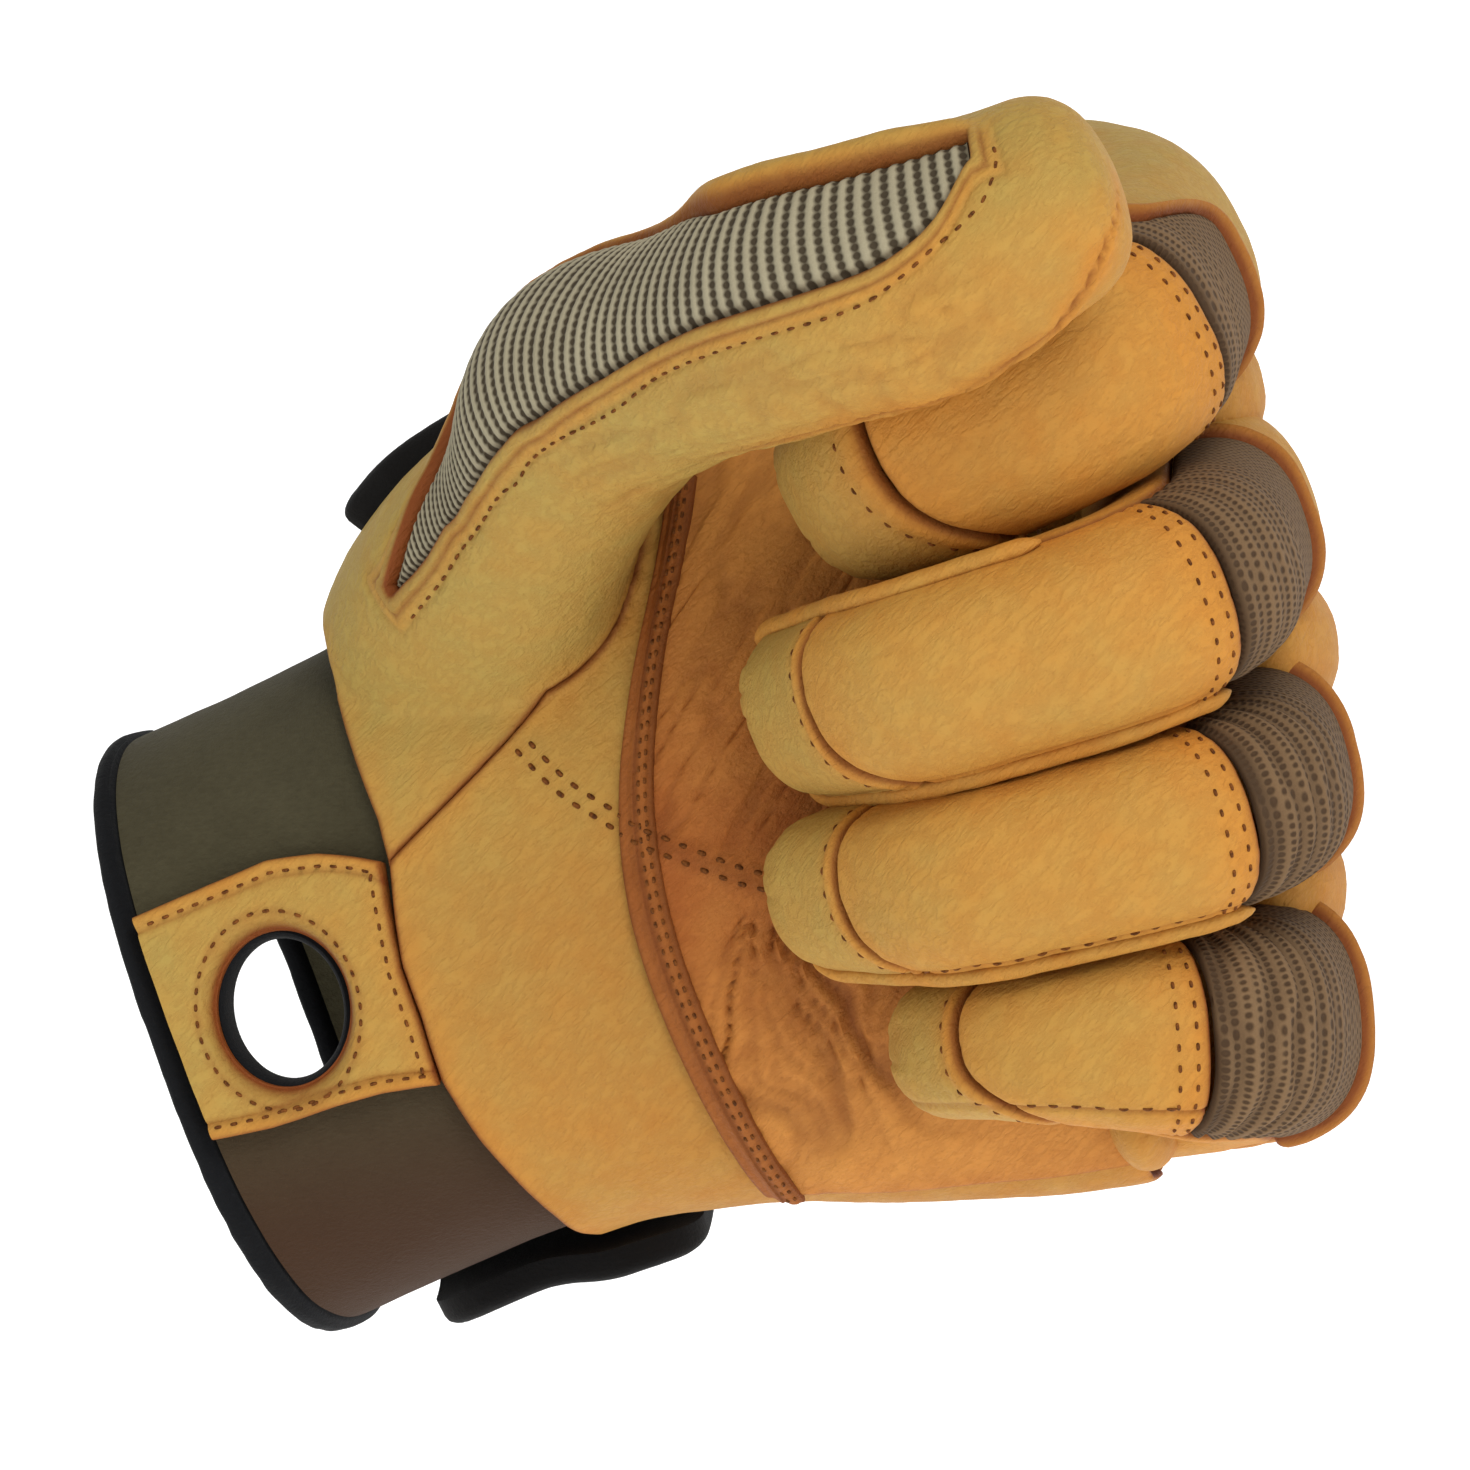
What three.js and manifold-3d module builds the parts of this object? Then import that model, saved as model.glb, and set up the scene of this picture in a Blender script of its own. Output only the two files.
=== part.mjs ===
// Belay glove for the left hand, closed as in use, as an assembly of sewn panels.
// Millimetres. The origin is the middle of the wrist opening. +Z runs up along the grip channel,
// +X from the wrist to the knuckles, and +Y from the palm to the back of the hand.
// Every panel is a wall of its own: leather palm, thumb and finger panels, stretch fabric backs,
// a stretch cuff with a bound edge, a leather tab with a round clip hole, and a closing strap.
import * as THREE from "three";
import { mergeVertices } from "three/addons/utils/BufferGeometryUtils.js";
import Module from "manifold-3d";

const wasm = await Module();
wasm.setup();

// Walls, and the gap left between pieces that are sewn together
const leatherWall = 1.6;
const fabricWall = 1.3;
const cuffWall = 2.0;
const patchWall = 1.2;
const strapWall = 3.2;
const bindingFullness = 0.7;
const seamGap = 0.3;

const leatherLook = { color: 0xc99345, roughness: 0.75, metalness: 0 };
const darkLeatherLook = { color: 0xb87430, roughness: 0.75, metalness: 0 };
const meshLook = { color: 0x8a7c69, roughness: 0.85, metalness: 0 };
const cuffLook = { color: 0x4d4436, roughness: 0.95, metalness: 0 };
const blackLook = { color: 0x111318, roughness: 0.9, metalness: 0 };

// Hand: flat oval sections from the wrist opening to the knuckles, with each one's middle (x, z),
// its lean from +Z towards -X in degrees, its tilt (how far its palm side sits towards the wrist,
// per millimetre of depth), its half width, and its depths to back and palm
const handSections = [
  { x: 0.0, z: 0.0, lean: 10.5, tilt: 0.15, half: 32.2, back: 21.6, palm: 21.6 },
  { x: 24.8, z: 6.5, lean: 14.5, tilt: 0.07, half: 32.5, back: 21.0, palm: 21.5 },
  { x: 42.0, z: 11.0, lean: 11.0, tilt: 0, half: 36.0, back: 19.5, palm: 22.5 },
  { x: 60.0, z: 16.0, lean: 6.5, tilt: 0, half: 42.8, back: 17.5, palm: 21.0 },
  { x: 76.0, z: 20.3, lean: 2.5, tilt: 0, half: 48.2, back: 15.5, palm: 17.5 },
  { x: 88.7, z: 22.8, lean: 0.0, tilt: 0, half: 51.0, back: 14.5, palm: 14.5 },
];
const handSquareness = 2.5;
const wristStation = 1;
const cuffEndStation = 1.22;
const bandStation = 4.1;
const sideSeamY = 3.0;
const bindingLength = 3.6;
const bindingStation = bindingLength / Math.hypot(24.8, 6.5);

// Thumb: a tube from the wrist over the index finger, as middle (x, y, z), half width, half depth
const thumbSections = [
  { x: 25.6, y: -3.0, z: 27.6, half: 10.5, deep: 12.0 },
  { x: 31.3, y: -10.0, z: 34.0, half: 11.6, deep: 13.6 },
  { x: 38.2, y: -18.0, z: 40.0, half: 11.8, deep: 13.0 },
  { x: 45.6, y: -26.5, z: 46.5, half: 11.9, deep: 10.3 },
  { x: 54.0, y: -36.0, z: 54.4, half: 11.9, deep: 11.8 },
  { x: 66.1, y: -46.6, z: 56.9, half: 11.9, deep: 10.2 },
  { x: 78.7, y: -54.8, z: 58.9, half: 11.8, deep: 11.1 },
  { x: 90.0, y: -59.0, z: 61.2, half: 11.2, deep: 9.6 },
  { x: 101.0, y: -60.0, z: 63.3, half: 10.0, deep: 9.2 },
  { x: 109.8, y: -59.5, z: 65.6, half: 9.4, deep: 8.6 },
];
const thumbNailFaces = new THREE.Vector3(0, -0.7, 0.7);
const thumbTipRound = 0.75;
const thumbSquareness = 2.2;
// The fabric insert along the thumb: its two edge angles round the tube, in degrees
const thumbInsert = [
  { at: 2.1, from: 44, to: 47 },
  { at: 2.25, from: 44, to: 52 },
  { at: 2.45, from: 44, to: 62 },
  { at: 2.7, from: 46, to: 78 },
  { at: 3.0, from: 50, to: 93 },
  { at: 3.35, from: 50, to: 113 },
  { at: 3.65, from: 39, to: 121 },
  { at: 4.0, from: 26, to: 128 },
  { at: 4.4, from: 22, to: 129 },
  { at: 4.65, from: 27, to: 129 },
  { at: 5.0, from: 35, to: 124 },
  { at: 5.4, from: 39, to: 118 },
  { at: 5.8, from: 41, to: 103 },
  { at: 6.5, from: 42, to: 102 },
  { at: 7.05, from: 43, to: 100 },
  { at: 7.3, from: 49, to: 99 },
  { at: 7.5, from: 56, to: 98 },
  { at: 7.7, from: 71, to: 97.5 },
  { at: 7.87, from: 84, to: 97 },
];

// Fingers: the places of the joints and of the tip's end, with half widths and depths at the stations.
// Station 0 is the start in the hand, 1 the big knuckle, 2 and 3 the finger's joints, 4 its tip.
// padFrom and tipSeam are the stations between which the leather pad lies.
const fingerStartX = 89.0;
const fingers = {
  index: {
    knuckle: [101.0, 0.0, 60.6],
    middleJoint: [104.1, -41.5, 48.5],
    endJoint: [83.2, -41.0, 43.1],
    tip: [74.0, -22.5, 42.4],
    halves: [13.8, 12.8, 10.9, 10.1, 9.0],
    depths: [13.6, 12.0, 10.2, 9.2, 8.2],
    padFrom: 1.86,
    tipSeam: 2.92,
  },
  middle: {
    knuckle: [102.8, 0.0, 35.0],
    middleJoint: [107.9, -46.0, 26.4],
    endJoint: [82.0, -46.5, 22.9],
    tip: [65.4, -23.5, 22.3],
    halves: [11.4, 10.8, 9.7, 9.3, 8.2],
    depths: [13.6, 12.0, 10.2, 9.2, 8.2],
    padFrom: 1.98,
    tipSeam: 3.2,
  },
  ring: {
    knuckle: [102.2, 0.0, 11.2],
    middleJoint: [108.8, -42.0, 6.5],
    endJoint: [83.0, -43.0, 4.3],
    tip: [63.0, -23.5, 5.6],
    halves: [11.7, 11.5, 9.2, 8.5, 7.4],
    depths: [13.6, 12.0, 10.0, 8.8, 7.6],
    padFrom: 2.04,
    tipSeam: 3.34,
  },
  little: {
    knuckle: [101.2, 0.0, -13.7],
    middleJoint: [104.0, -36.8, -13.5],
    endJoint: [86.6, -38.2, -11.9],
    tip: [71.8, -24.2, -10.8],
    halves: [12.4, 12.3, 10.2, 7.4, 6.8],
    depths: [13.2, 11.6, 9.6, 8.0, 7.0],
    padFrom: 2.2,
    tipSeam: 3.2,
  },
};
const fingerSquareness = 2.5;
const bendRadii = [12.6, 10.8, 10.2];
const tipRoundLength = 9.0;
const fabricFrom = 1.42;
const panelEdges = { from: 4, to: 176, gap: 1.3 };
const fingerInnerShare = 0.9;
const bentSeamGap = 0.9;

// Palm tab with the clip hole: its edges along the cuff as angles round the hand's section
const tab = [
  { at: 0.17, low: 256, high: 288 },
  { at: 0.4, low: 254, high: 288 },
  { at: 0.63, low: 253, high: 288 },
  { at: 0.78, low: 252, high: 285.5 },
  { at: 0.985, low: 249.5, high: 280 },
];
const clipHole = { x: 10.4, z: 2.0, radius: 7.6, ringWall: 1.2, ringProud: 0.2, fromY: -33, toY: -7 };

// Closing strap over the back of the wrist: its slab across the hand, and where it ends
const strap = {
  x: 28.6, z: 11.0, lean: -1.3, width: 28.5, frontY: 1.0, thumbShare: 0.8,
  sink: 1.7, sinkFrom: 0.72, sinkTo: 0.96, flare: 1.2, flareFrom: 110, flareTo: 165,
  thumbSideZ: 32.0, thumbSideFrontY: -3.0,
};

// Palm patch: its outline as (x, z) points, cut from a layer over the palm
const patchOutline = [
  [60.0, 60.0], [57.6, 44.4], [51.6, 27.2], [48.4, 13.5], [48.4, 3.8],
  [49.8, -4.2], [51.6, -13.3], [55.0, -30.0], [87.6, -30.0], [87.6, 60.0],
];
const patchBackY = -8.0;

// Seam between thumb leather and palm leather over the ball of the thumb, as (x, z) points
const thenarSeam = [
  [10.0, 4.0], [22.8, 13.9], [30.4, 19.3], [37.5, 24.4], [43.4, 29.7], [48.3, 35.7], [54.0, 44.0],
];

const degree = Math.PI / 180;
const steps = (from, to, count) =>
  Array.from({ length: count + 1 }, (_, i) => from + ((to - from) * i) / count);

// The value at a station of a list of values, on a smooth curve through them
function smooth(values, station) {
  const last = values.length - 1;
  const i = Math.min(Math.max(Math.floor(station), 0), last - 1);
  const t = station - i;
  const [a, b, c, d] = [Math.max(i - 1, 0), i, i + 1, Math.min(i + 2, last)].map((k) => values[k]);
  const slope = c - a;
  const bend = 2 * a - 5 * b + 4 * c - d;
  const turn = 3 * (b - c) + d - a;
  return b + 0.5 * t * (slope + t * (bend + t * turn));
}

// The value at a place between rows of a table, straight from row to row
function between(rows, key, name, place) {
  const next = rows.findIndex((row) => row[key] >= place);
  if (next < 0) return rows[rows.length - 1][name];
  if (next === 0) return rows[0][name];
  const [a, b] = [rows[next - 1], rows[next]];
  return a[name] + ((b[name] - a[name]) * (place - a[key])) / (b[key] - a[key]);
}

// Cosine and sine of a rounded-square section: squareness 2 is a plain ellipse
function sectionAt(angle, squareness) {
  const bulge = (value) => Math.sign(value) * Math.abs(value) ** (2 / squareness);
  return [bulge(Math.cos(angle * degree)), bulge(Math.sin(angle * degree))];
}

// The hand's outer surface. Angle 0 is the thumb side, 90 the back, 180 the little finger's side
// and 270 the palm. The offset moves the surface out.
function handPoint(angle, station, offset) {
  const row = (name) => smooth(handSections.map((s) => s[name]), station);
  const [across, through] = sectionAt(angle, handSquareness);
  const lean = row("lean") * degree;
  const width = (row("half") + offset) * across;
  const depth = (row(through > 0 ? "back" : "palm") + offset) * through;
  const x = row("x") + row("tilt") * depth - Math.sin(lean) * width;
  return new THREE.Vector3(x, depth, row("z") + Math.cos(lean) * width);
}

// Share of the full section that is left in a rounded end
function roundEnd(distanceLeft, roundLength) {
  if (distanceLeft >= roundLength) return 1;
  return Math.sqrt(Math.max(0, 1 - (1 - distanceLeft / roundLength) ** 2));
}

const thumbPath = (station) =>
  new THREE.Vector3(...["x", "y", "z"].map((k) => smooth(thumbSections.map((s) => s[k]), station)));

// The thumb's outer surface. Angle 0 faces front and down, 90 is the nail's side, 180 the far side.
function thumbPoint(angle, station, offset) {
  const end = thumbSections.length - 1;
  const nearEnd = Math.min(station, end - 0.02);
  const along = thumbPath(nearEnd + 0.01).sub(thumbPath(nearEnd - 0.01)).normalize();
  const nail = thumbNailFaces.clone().addScaledVector(along, -thumbNailFaces.dot(along)).normalize();
  const side = along.clone().cross(nail);
  const [across, through] = sectionAt(angle, thumbSquareness);
  const left = roundEnd(end - station, thumbTipRound);
  const value = (name) => (smooth(thumbSections.map((s) => s[name]), station) + offset) * left;
  const stretch = offset * Math.max(0, (station - end + thumbTipRound) / thumbTipRound);
  return thumbPath(station)
    .addScaledVector(side, value("half") * across)
    .addScaledVector(nail, value("deep") * through)
    .addScaledVector(along, stretch);
}

// A finger's line: straight stretches joined by arcs at the joints, kept as short steps
function fingerLine(finger) {
  const [kx, ky, kz] = finger.knuckle;
  const corners = [[fingerStartX, ky, kz], [kx, ky, kz], finger.middleJoint, finger.endJoint, finger.tip]
    .map((p) => new THREE.Vector3(...p));
  const points = [corners[0]];
  const marks = [0];
  const arcSteps = 24;
  for (let i = 1; i <= 3; i++) {
    const back = corners[i - 1].clone().sub(corners[i]).normalize();
    const ahead = corners[i + 1].clone().sub(corners[i]).normalize();
    const half = back.angleTo(ahead) / 2;
    const radius = bendRadii[i - 1];
    const middle = back.clone().add(ahead).normalize();
    const centre = corners[i].clone().addScaledVector(middle, radius / Math.sin(half));
    const across = back.clone().sub(ahead).normalize();
    const turn = Math.PI / 2 - half;
    for (const a of steps(-turn, turn, arcSteps)) {
      const inner = centre.clone().addScaledVector(middle, -radius * Math.cos(a));
      points.push(inner.addScaledVector(across, -radius * Math.sin(a)));
    }
    marks.push(points.length - 1 - arcSteps / 2);
  }
  points.push(corners[4]);
  marks.push(points.length - 1);
  const lengths = [0];
  for (let i = 1; i < points.length; i++) lengths.push(lengths[i - 1] + points[i].distanceTo(points[i - 1]));
  const plane = corners[2].clone().sub(corners[1]).cross(corners[3].clone().sub(corners[2])).normalize();
  if (plane.z < 0) plane.negate();
  return { points, lengths, marks: marks.map((m) => lengths[m]), plane };
}

function lineAt(line, distance) {
  const last = line.points.length - 1;
  const found = line.lengths.findIndex((length) => length > distance);
  const i = Math.max(found < 0 ? last : found, 1);
  const [a, b] = [line.points[i - 1], line.points[i]];
  const share = (distance - line.lengths[i - 1]) / (line.lengths[i] - line.lengths[i - 1]);
  return a.clone().lerp(b, share);
}

// A finger's outer surface. Angle 0 is the side towards the thumb, 90 the back and 270 the inside.
function fingerSurface(finger) {
  const line = fingerLine(finger);
  const total = line.lengths[line.lengths.length - 1];
  const surface = (angle, station, offset) => {
    const i = Math.min(Math.floor(station), 3);
    const distance = line.marks[i] + (station - i) * (line.marks[i + 1] - line.marks[i]);
    const before = lineAt(line, Math.max(distance - 0.4, 0));
    const along = lineAt(line, Math.min(distance + 0.4, total)).sub(before).normalize();
    const side = line.plane.clone().addScaledVector(along, -line.plane.dot(along)).normalize();
    const back = side.clone().cross(along);
    const left = roundEnd(total - distance, tipRoundLength);
    const [across, through] = sectionAt(angle, fingerSquareness);
    const value = (values) => (smooth(values, station) + offset) * left;
    const stretch = offset * Math.max(0, 1 - (total - distance) / tipRoundLength);
    return lineAt(line, distance)
      .addScaledVector(side, value(finger.halves) * across)
      .addScaledVector(back, value(finger.depths) * through * (through < 0 ? fingerInnerShare : 1))
      .addScaledVector(along, stretch);
  };
  const past = (station, distance) => {
    const i = Math.floor(station);
    return station + distance / (line.marks[i + 1] - line.marks[i]);
  };
  return { surface, past };
}

// Stations towards a rounded end, closer together as the surface turns in
const roundStations = (from, to, count) =>
  steps(0, 90, count).map((angle) => from + (to - from) * Math.sin(angle * degree));

// A closed mesh's solid. Its triangles turn outwards, whichever way they were listed.
function solidFrom(points, triangles) {
  const geometry = new THREE.BufferGeometry().setFromPoints(points).setIndex(triangles.flat());
  const merged = mergeVertices(geometry, 1e-4);
  const [vertProperties, index] = [merged.attributes.position.array, merged.index.array];
  const kept = [];
  for (let i = 0; i < index.length; i += 3) {
    const [a, b, c] = index.slice(i, i + 3);
    if (a !== b && b !== c && c !== a) kept.push([a, b, c]);
  }
  const made = (list) =>
    new wasm.Manifold(new wasm.Mesh({ numProp: 3, vertProperties, triVerts: new Uint32Array(list.flat()) }));
  const solid = made(kept);
  return solid.volume() > 0 ? solid : made(kept.map(([a, b, c]) => [a, c, b]));
}

// A wall between two offsets of a surface, over rows of stations and the angles at each of them.
// A round wall goes right round the tube, and an open one has two side edges.
function wallSolid(surface, stations, anglesAt, outer, inner, round) {
  const rows = stations.map(anglesAt);
  const width = rows[0].length;
  const points = [outer, inner].flatMap((offset) =>
    stations.flatMap((station, j) => rows[j].map((angle) => surface(angle, station, offset))));
  const place = (layer, j, i) => (layer * stations.length + j) * width + (round ? i % width : i);
  const triangles = [];
  const quad = (a, b, c, d) => triangles.push([a, b, c], [a, c, d]);
  const last = stations.length - 1;
  const columns = round ? width : width - 1;
  for (let j = 0; j < last; j++)
    for (let i = 0; i < columns; i++) {
      quad(place(0, j, i), place(0, j, i + 1), place(0, j + 1, i + 1), place(0, j + 1, i));
      quad(place(1, j, i), place(1, j + 1, i), place(1, j + 1, i + 1), place(1, j, i + 1));
    }
  for (let i = 0; i < columns; i++) {
    quad(place(0, 0, i), place(1, 0, i), place(1, 0, i + 1), place(0, 0, i + 1));
    quad(place(0, last, i), place(0, last, i + 1), place(1, last, i + 1), place(1, last, i));
  }
  if (!round)
    for (let j = 0; j < last; j++) {
      quad(place(0, j, 0), place(0, j + 1, 0), place(1, j + 1, 0), place(1, j, 0));
      quad(place(0, j, columns), place(1, j, columns), place(1, j + 1, columns), place(0, j + 1, columns));
    }
  return solidFrom(points, triangles);
}

// The largest body of a solid, without the slivers a cut can leave beside it
const largest = (solid) => solid.decompose().reduce((a, b) => (b.volume() > a.volume() ? b : a));

const ring = (count) => () => steps(0, 360, count).slice(0, count);

// The whole solid inside a surface, closed at both ends
function fullSolid(surface, stations, count, offset) {
  const angles = ring(count)();
  const points = stations.flatMap((station) => angles.map((angle) => surface(angle, station, offset)));
  const triangles = [];
  for (let j = 0; j < stations.length - 1; j++)
    for (let i = 0; i < count; i++) {
      const [a, b] = [j * count + i, j * count + ((i + 1) % count)];
      triangles.push([a, b, b + count], [a, b + count, a + count]);
    }
  for (const [first, flip] of [[0, true], [(stations.length - 1) * count, false]]) {
    const centre = points.slice(first, first + count).reduce((sum, p) => sum.add(p), new THREE.Vector3());
    points.push(centre.divideScalar(count));
    for (let i = 0; i < count; i++) {
      const [a, b] = [first + i, first + ((i + 1) % count)];
      triangles.push(flip ? [b, a, points.length - 1] : [a, b, points.length - 1]);
    }
  }
  return solidFrom(points, triangles);
}

// A solid from one of the library's closed geometries, put in its place
function solidOfGeometry(geometry, matrix) {
  const bare = geometry.clone().applyMatrix4(matrix);
  bare.deleteAttribute("normal");
  bare.deleteAttribute("uv");
  const merged = mergeVertices(bare, 1e-4);
  const points = [];
  for (let i = 0; i < merged.attributes.position.count; i++)
    points.push(new THREE.Vector3().fromBufferAttribute(merged.attributes.position, i));
  const index = Array.from(merged.index.array);
  const triangles = [];
  for (let i = 0; i < index.length; i += 3) triangles.push(index.slice(i, i + 3));
  return solidFrom(points, triangles);
}

// A straight prism with an outline in the XZ plane, between two values of y
function prism(outline, fromY, toY) {
  const shape = new THREE.Shape(outline.map(([x, z]) => new THREE.Vector2(x, z)));
  const geometry = new THREE.ExtrudeGeometry(shape, { depth: toY - fromY, bevelEnabled: false });
  const upright = new THREE.Matrix4().makeRotationX(Math.PI / 2);
  return solidOfGeometry(geometry, new THREE.Matrix4().makeTranslation(0, toY, 0).multiply(upright));
}

function block(size, centre, turnY = 0) {
  const matrix = new THREE.Matrix4().makeRotationY(turnY);
  matrix.setPosition(...centre);
  return solidOfGeometry(new THREE.BoxGeometry(...size), matrix);
}

const glove = new THREE.Group();

function add(name, solid, look) {
  const mesh = solid.getMesh();
  const geometry = new THREE.BufferGeometry();
  geometry.setAttribute("position", new THREE.BufferAttribute(new Float32Array(mesh.vertProperties), 3));
  geometry.setIndex(new THREE.BufferAttribute(new Uint32Array(mesh.triVerts), 1));
  geometry.computeVertexNormals();
  const piece = new THREE.Mesh(geometry, new THREE.MeshStandardMaterial(look));
  piece.name = name;
  glove.add(piece);
}

const handEnd = handSections.length - 1 - 0.02;
const handColumns = 26;
const thumbColumns = 15;
const thumbEnd = thumbSections.length - 1;
const thumbStations = [
  ...steps(0, thumbEnd - thumbTipRound, 10),
  ...roundStations(thumbEnd - thumbTipRound, thumbEnd, 4).slice(1),
];
const far = 200;

// Hand: a palm with its side walls, the fabric back and the leather band over the knuckles
const handStations = [...steps(wristStation, 4, 5), bandStation, handEnd];
const thumbHole = fullSolid(thumbPoint, thumbStations, thumbColumns, seamGap);
const handWall = (wall) => wallSolid(handPoint, handStations, ring(handColumns), 0, -wall, true);
const backSide = (fromY) => block([far, far, far], [0, fromY + far / 2, 0]);
const bandX = smooth(handSections.map((s) => s.x), bandStation);
const knuckleSide = (fromX) => block([far, far, far], [fromX + far / 2, 0, 0]);
const [[, seamStartZ], [seamEndX]] = [thenarSeam[0], thenarSeam[thenarSeam.length - 1]];
const thenarSide = [...thenarSeam, [seamEndX, far], [-far, far], [-far, seamStartZ]];
const thenar = (shift) => prism(thenarSide.map(([x, z]) => [x + shift, z - shift]), -far, sideSeamY);
const palmHalf = handWall(leatherWall).subtract(thumbHole).subtract(backSide(sideSeamY));
const palm = palmHalf.subtract(thenar(seamGap));
const backWall = handWall(fabricWall).subtract(thumbHole).intersect(backSide(sideSeamY + seamGap));
add("palm", palm, leatherLook);
add("hand_back", backWall.subtract(knuckleSide(bandX)), meshLook);
const bandWall = handWall(leatherWall).intersect(backSide(sideSeamY + seamGap));
add("knuckle_band", bandWall.intersect(knuckleSide(bandX + seamGap)).subtract(thumbHole), leatherLook);

// Palm patch: a second layer of leather over the palm's inner half
const patchStations = [...steps(1.6, 4, 6), handEnd];
const patchOuter = seamGap + patchWall;
const patchLayer = wallSolid(handPoint, patchStations, ring(handColumns), patchOuter, seamGap, true);
const patch = patchLayer.intersect(prism(patchOutline, -far, patchBackY)).subtract(
  fullSolid(thumbPoint, thumbStations, thumbColumns, 2 * seamGap));
add("palm_patch", patch, darkLeatherLook);

// Thumb: a leather tube that opens into the hand, with the fabric insert let into its back
const insertStations = steps(thumbInsert[0].at, thumbInsert[thumbInsert.length - 1].at, 11);
const insertAngles = (spread) => (station) => {
  const from = between(thumbInsert, "at", "from", station) - spread;
  return steps(from, between(thumbInsert, "at", "to", station) + spread, 5);
};
const insertEdge = 3.2;
const insertStationEdge = 0.045;
const insertSink = 0.1;
const insertCutOut = 1;
const insertCutIn = -3.2;
const cutStations = insertStations.map((s, i) =>
  s + (i === 0 ? -insertStationEdge : i === insertStations.length - 1 ? insertStationEdge : 0));
const cutAngles = insertAngles(insertEdge);
const insertCut = wallSolid(thumbPoint, cutStations, cutAngles, insertCutOut, insertCutIn, false);
const handHollow = fullSolid(handPoint, steps(0, handEnd, 12), handColumns, -leatherWall);
const thumbWall = wallSolid(thumbPoint, thumbStations, ring(thumbColumns), 0, -leatherWall, true);
const thumbInside = fullSolid(thumbPoint, thumbStations, thumbColumns, -leatherWall);
const thumbBall = handWall(leatherWall).intersect(thenar(0)).subtract(thumbInside);
add("thumb", largest(thumbWall.subtract(handHollow).add(thumbBall).subtract(insertCut)), leatherLook);
const insertInner = -insertSink - fabricWall;
const insert = wallSolid(thumbPoint, insertStations, insertAngles(0), -insertSink, insertInner, false);
add("thumb_insert", insert.subtract(handHollow), meshLook);

// Cuff: stretch fabric, its bound edge, the tab with the clip hole and the ring in that hole
const cuffOuter = -(leatherWall + seamGap);
const holeAxis = (radius) => {
  const { x, z, fromY, toY } = clipHole;
  const cylinder = new THREE.CylinderGeometry(radius, radius, toY - fromY, 24);
  return solidOfGeometry(cylinder, new THREE.Matrix4().makeTranslation(x, (fromY + toY) / 2, z));
};
const cuffInner = cuffOuter - cuffWall;
const cuffStart = bindingStation * (1 + seamGap / bindingLength);
const cuffStations = [cuffStart, 0.45, 0.75, 1, cuffEndStation];
const cuff = wallSolid(handPoint, cuffStations, ring(handColumns), cuffOuter, cuffInner, true);
add("cuff", cuff.subtract(holeAxis(clipHole.radius + seamGap)), cuffLook);
const bindingOuter = cuffOuter + bindingFullness;
const bindingInner = cuffInner - bindingFullness;
const bindingRows = [0, bindingStation];
const binding = wallSolid(handPoint, bindingRows, ring(handColumns), bindingOuter, bindingInner, true);
add("cuff_binding", binding, blackLook);
const tabStations = tab.map((row) => row.at);
const tabAngles = (station) =>
  steps(between(tab, "at", "low", station), between(tab, "at", "high", station), 6);
const tabWall = wallSolid(handPoint, tabStations, tabAngles, 0, -leatherWall, false);
add("wrist_tab", tabWall.subtract(holeAxis(clipHole.radius + seamGap)), leatherLook);
const ringAngles = () => steps(230, 310, 8);
const ringLayer = wallSolid(
  handPoint, steps(0.2, 0.95, 4), ringAngles, clipHole.ringProud, cuffInner - clipHole.ringProud, false);
const ringDisc = ringLayer.intersect(holeAxis(clipHole.radius));
add("clip_ring", ringDisc.subtract(holeAxis(clipHole.radius - clipHole.ringWall)), blackLook);

// Closing strap: lies over the back of the hand and stands out past both of its edges
const strapStations = [0.2, ...steps(strap.sinkFrom, strap.sinkTo, 3), 1.5, 2, 3, 4];
const strapInnerStations = [0, ...strapStations.slice(1), 4.3];
const strapThumb = (offset) => fullSolid(thumbPoint, thumbStations, thumbColumns, offset);
const eased = (value, from, to) => {
  const share = Math.min(Math.max((value - from) / (to - from), 0), 1);
  return share * share * (3 - 2 * share);
};
const strapSurface = (flare) => (angle, station, offset) => {
  const lift = flare * eased(angle, strap.flareFrom, strap.flareTo);
  const drop = strap.sink * (1 - eased(station, strap.sinkFrom, strap.sinkTo));
  return handPoint(angle, station, offset + lift - drop);
};
const strapOuter = fullSolid(strapSurface(strap.flare), strapStations, handColumns, seamGap + strapWall)
  .add(strapThumb(seamGap + strapWall * strap.thumbShare));
const strapHollow = fullSolid(strapSurface(0), strapInnerStations, handColumns, seamGap);
const strapInner = strapHollow.add(strapThumb(seamGap));
const strapMiddle = [strap.x, strap.frontY + far / 2, strap.z];
const strapThumbSide = [strap.x, strap.thumbSideFrontY + far / 2, strap.thumbSideZ + far / 2];
const strapSlab = block([strap.width, far, far], strapMiddle, -strap.lean * degree).add(
  block([strap.width, far, far], strapThumbSide, 0));
add("closing_strap", strapOuter.subtract(strapInner).intersect(strapSlab), blackLook);

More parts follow.
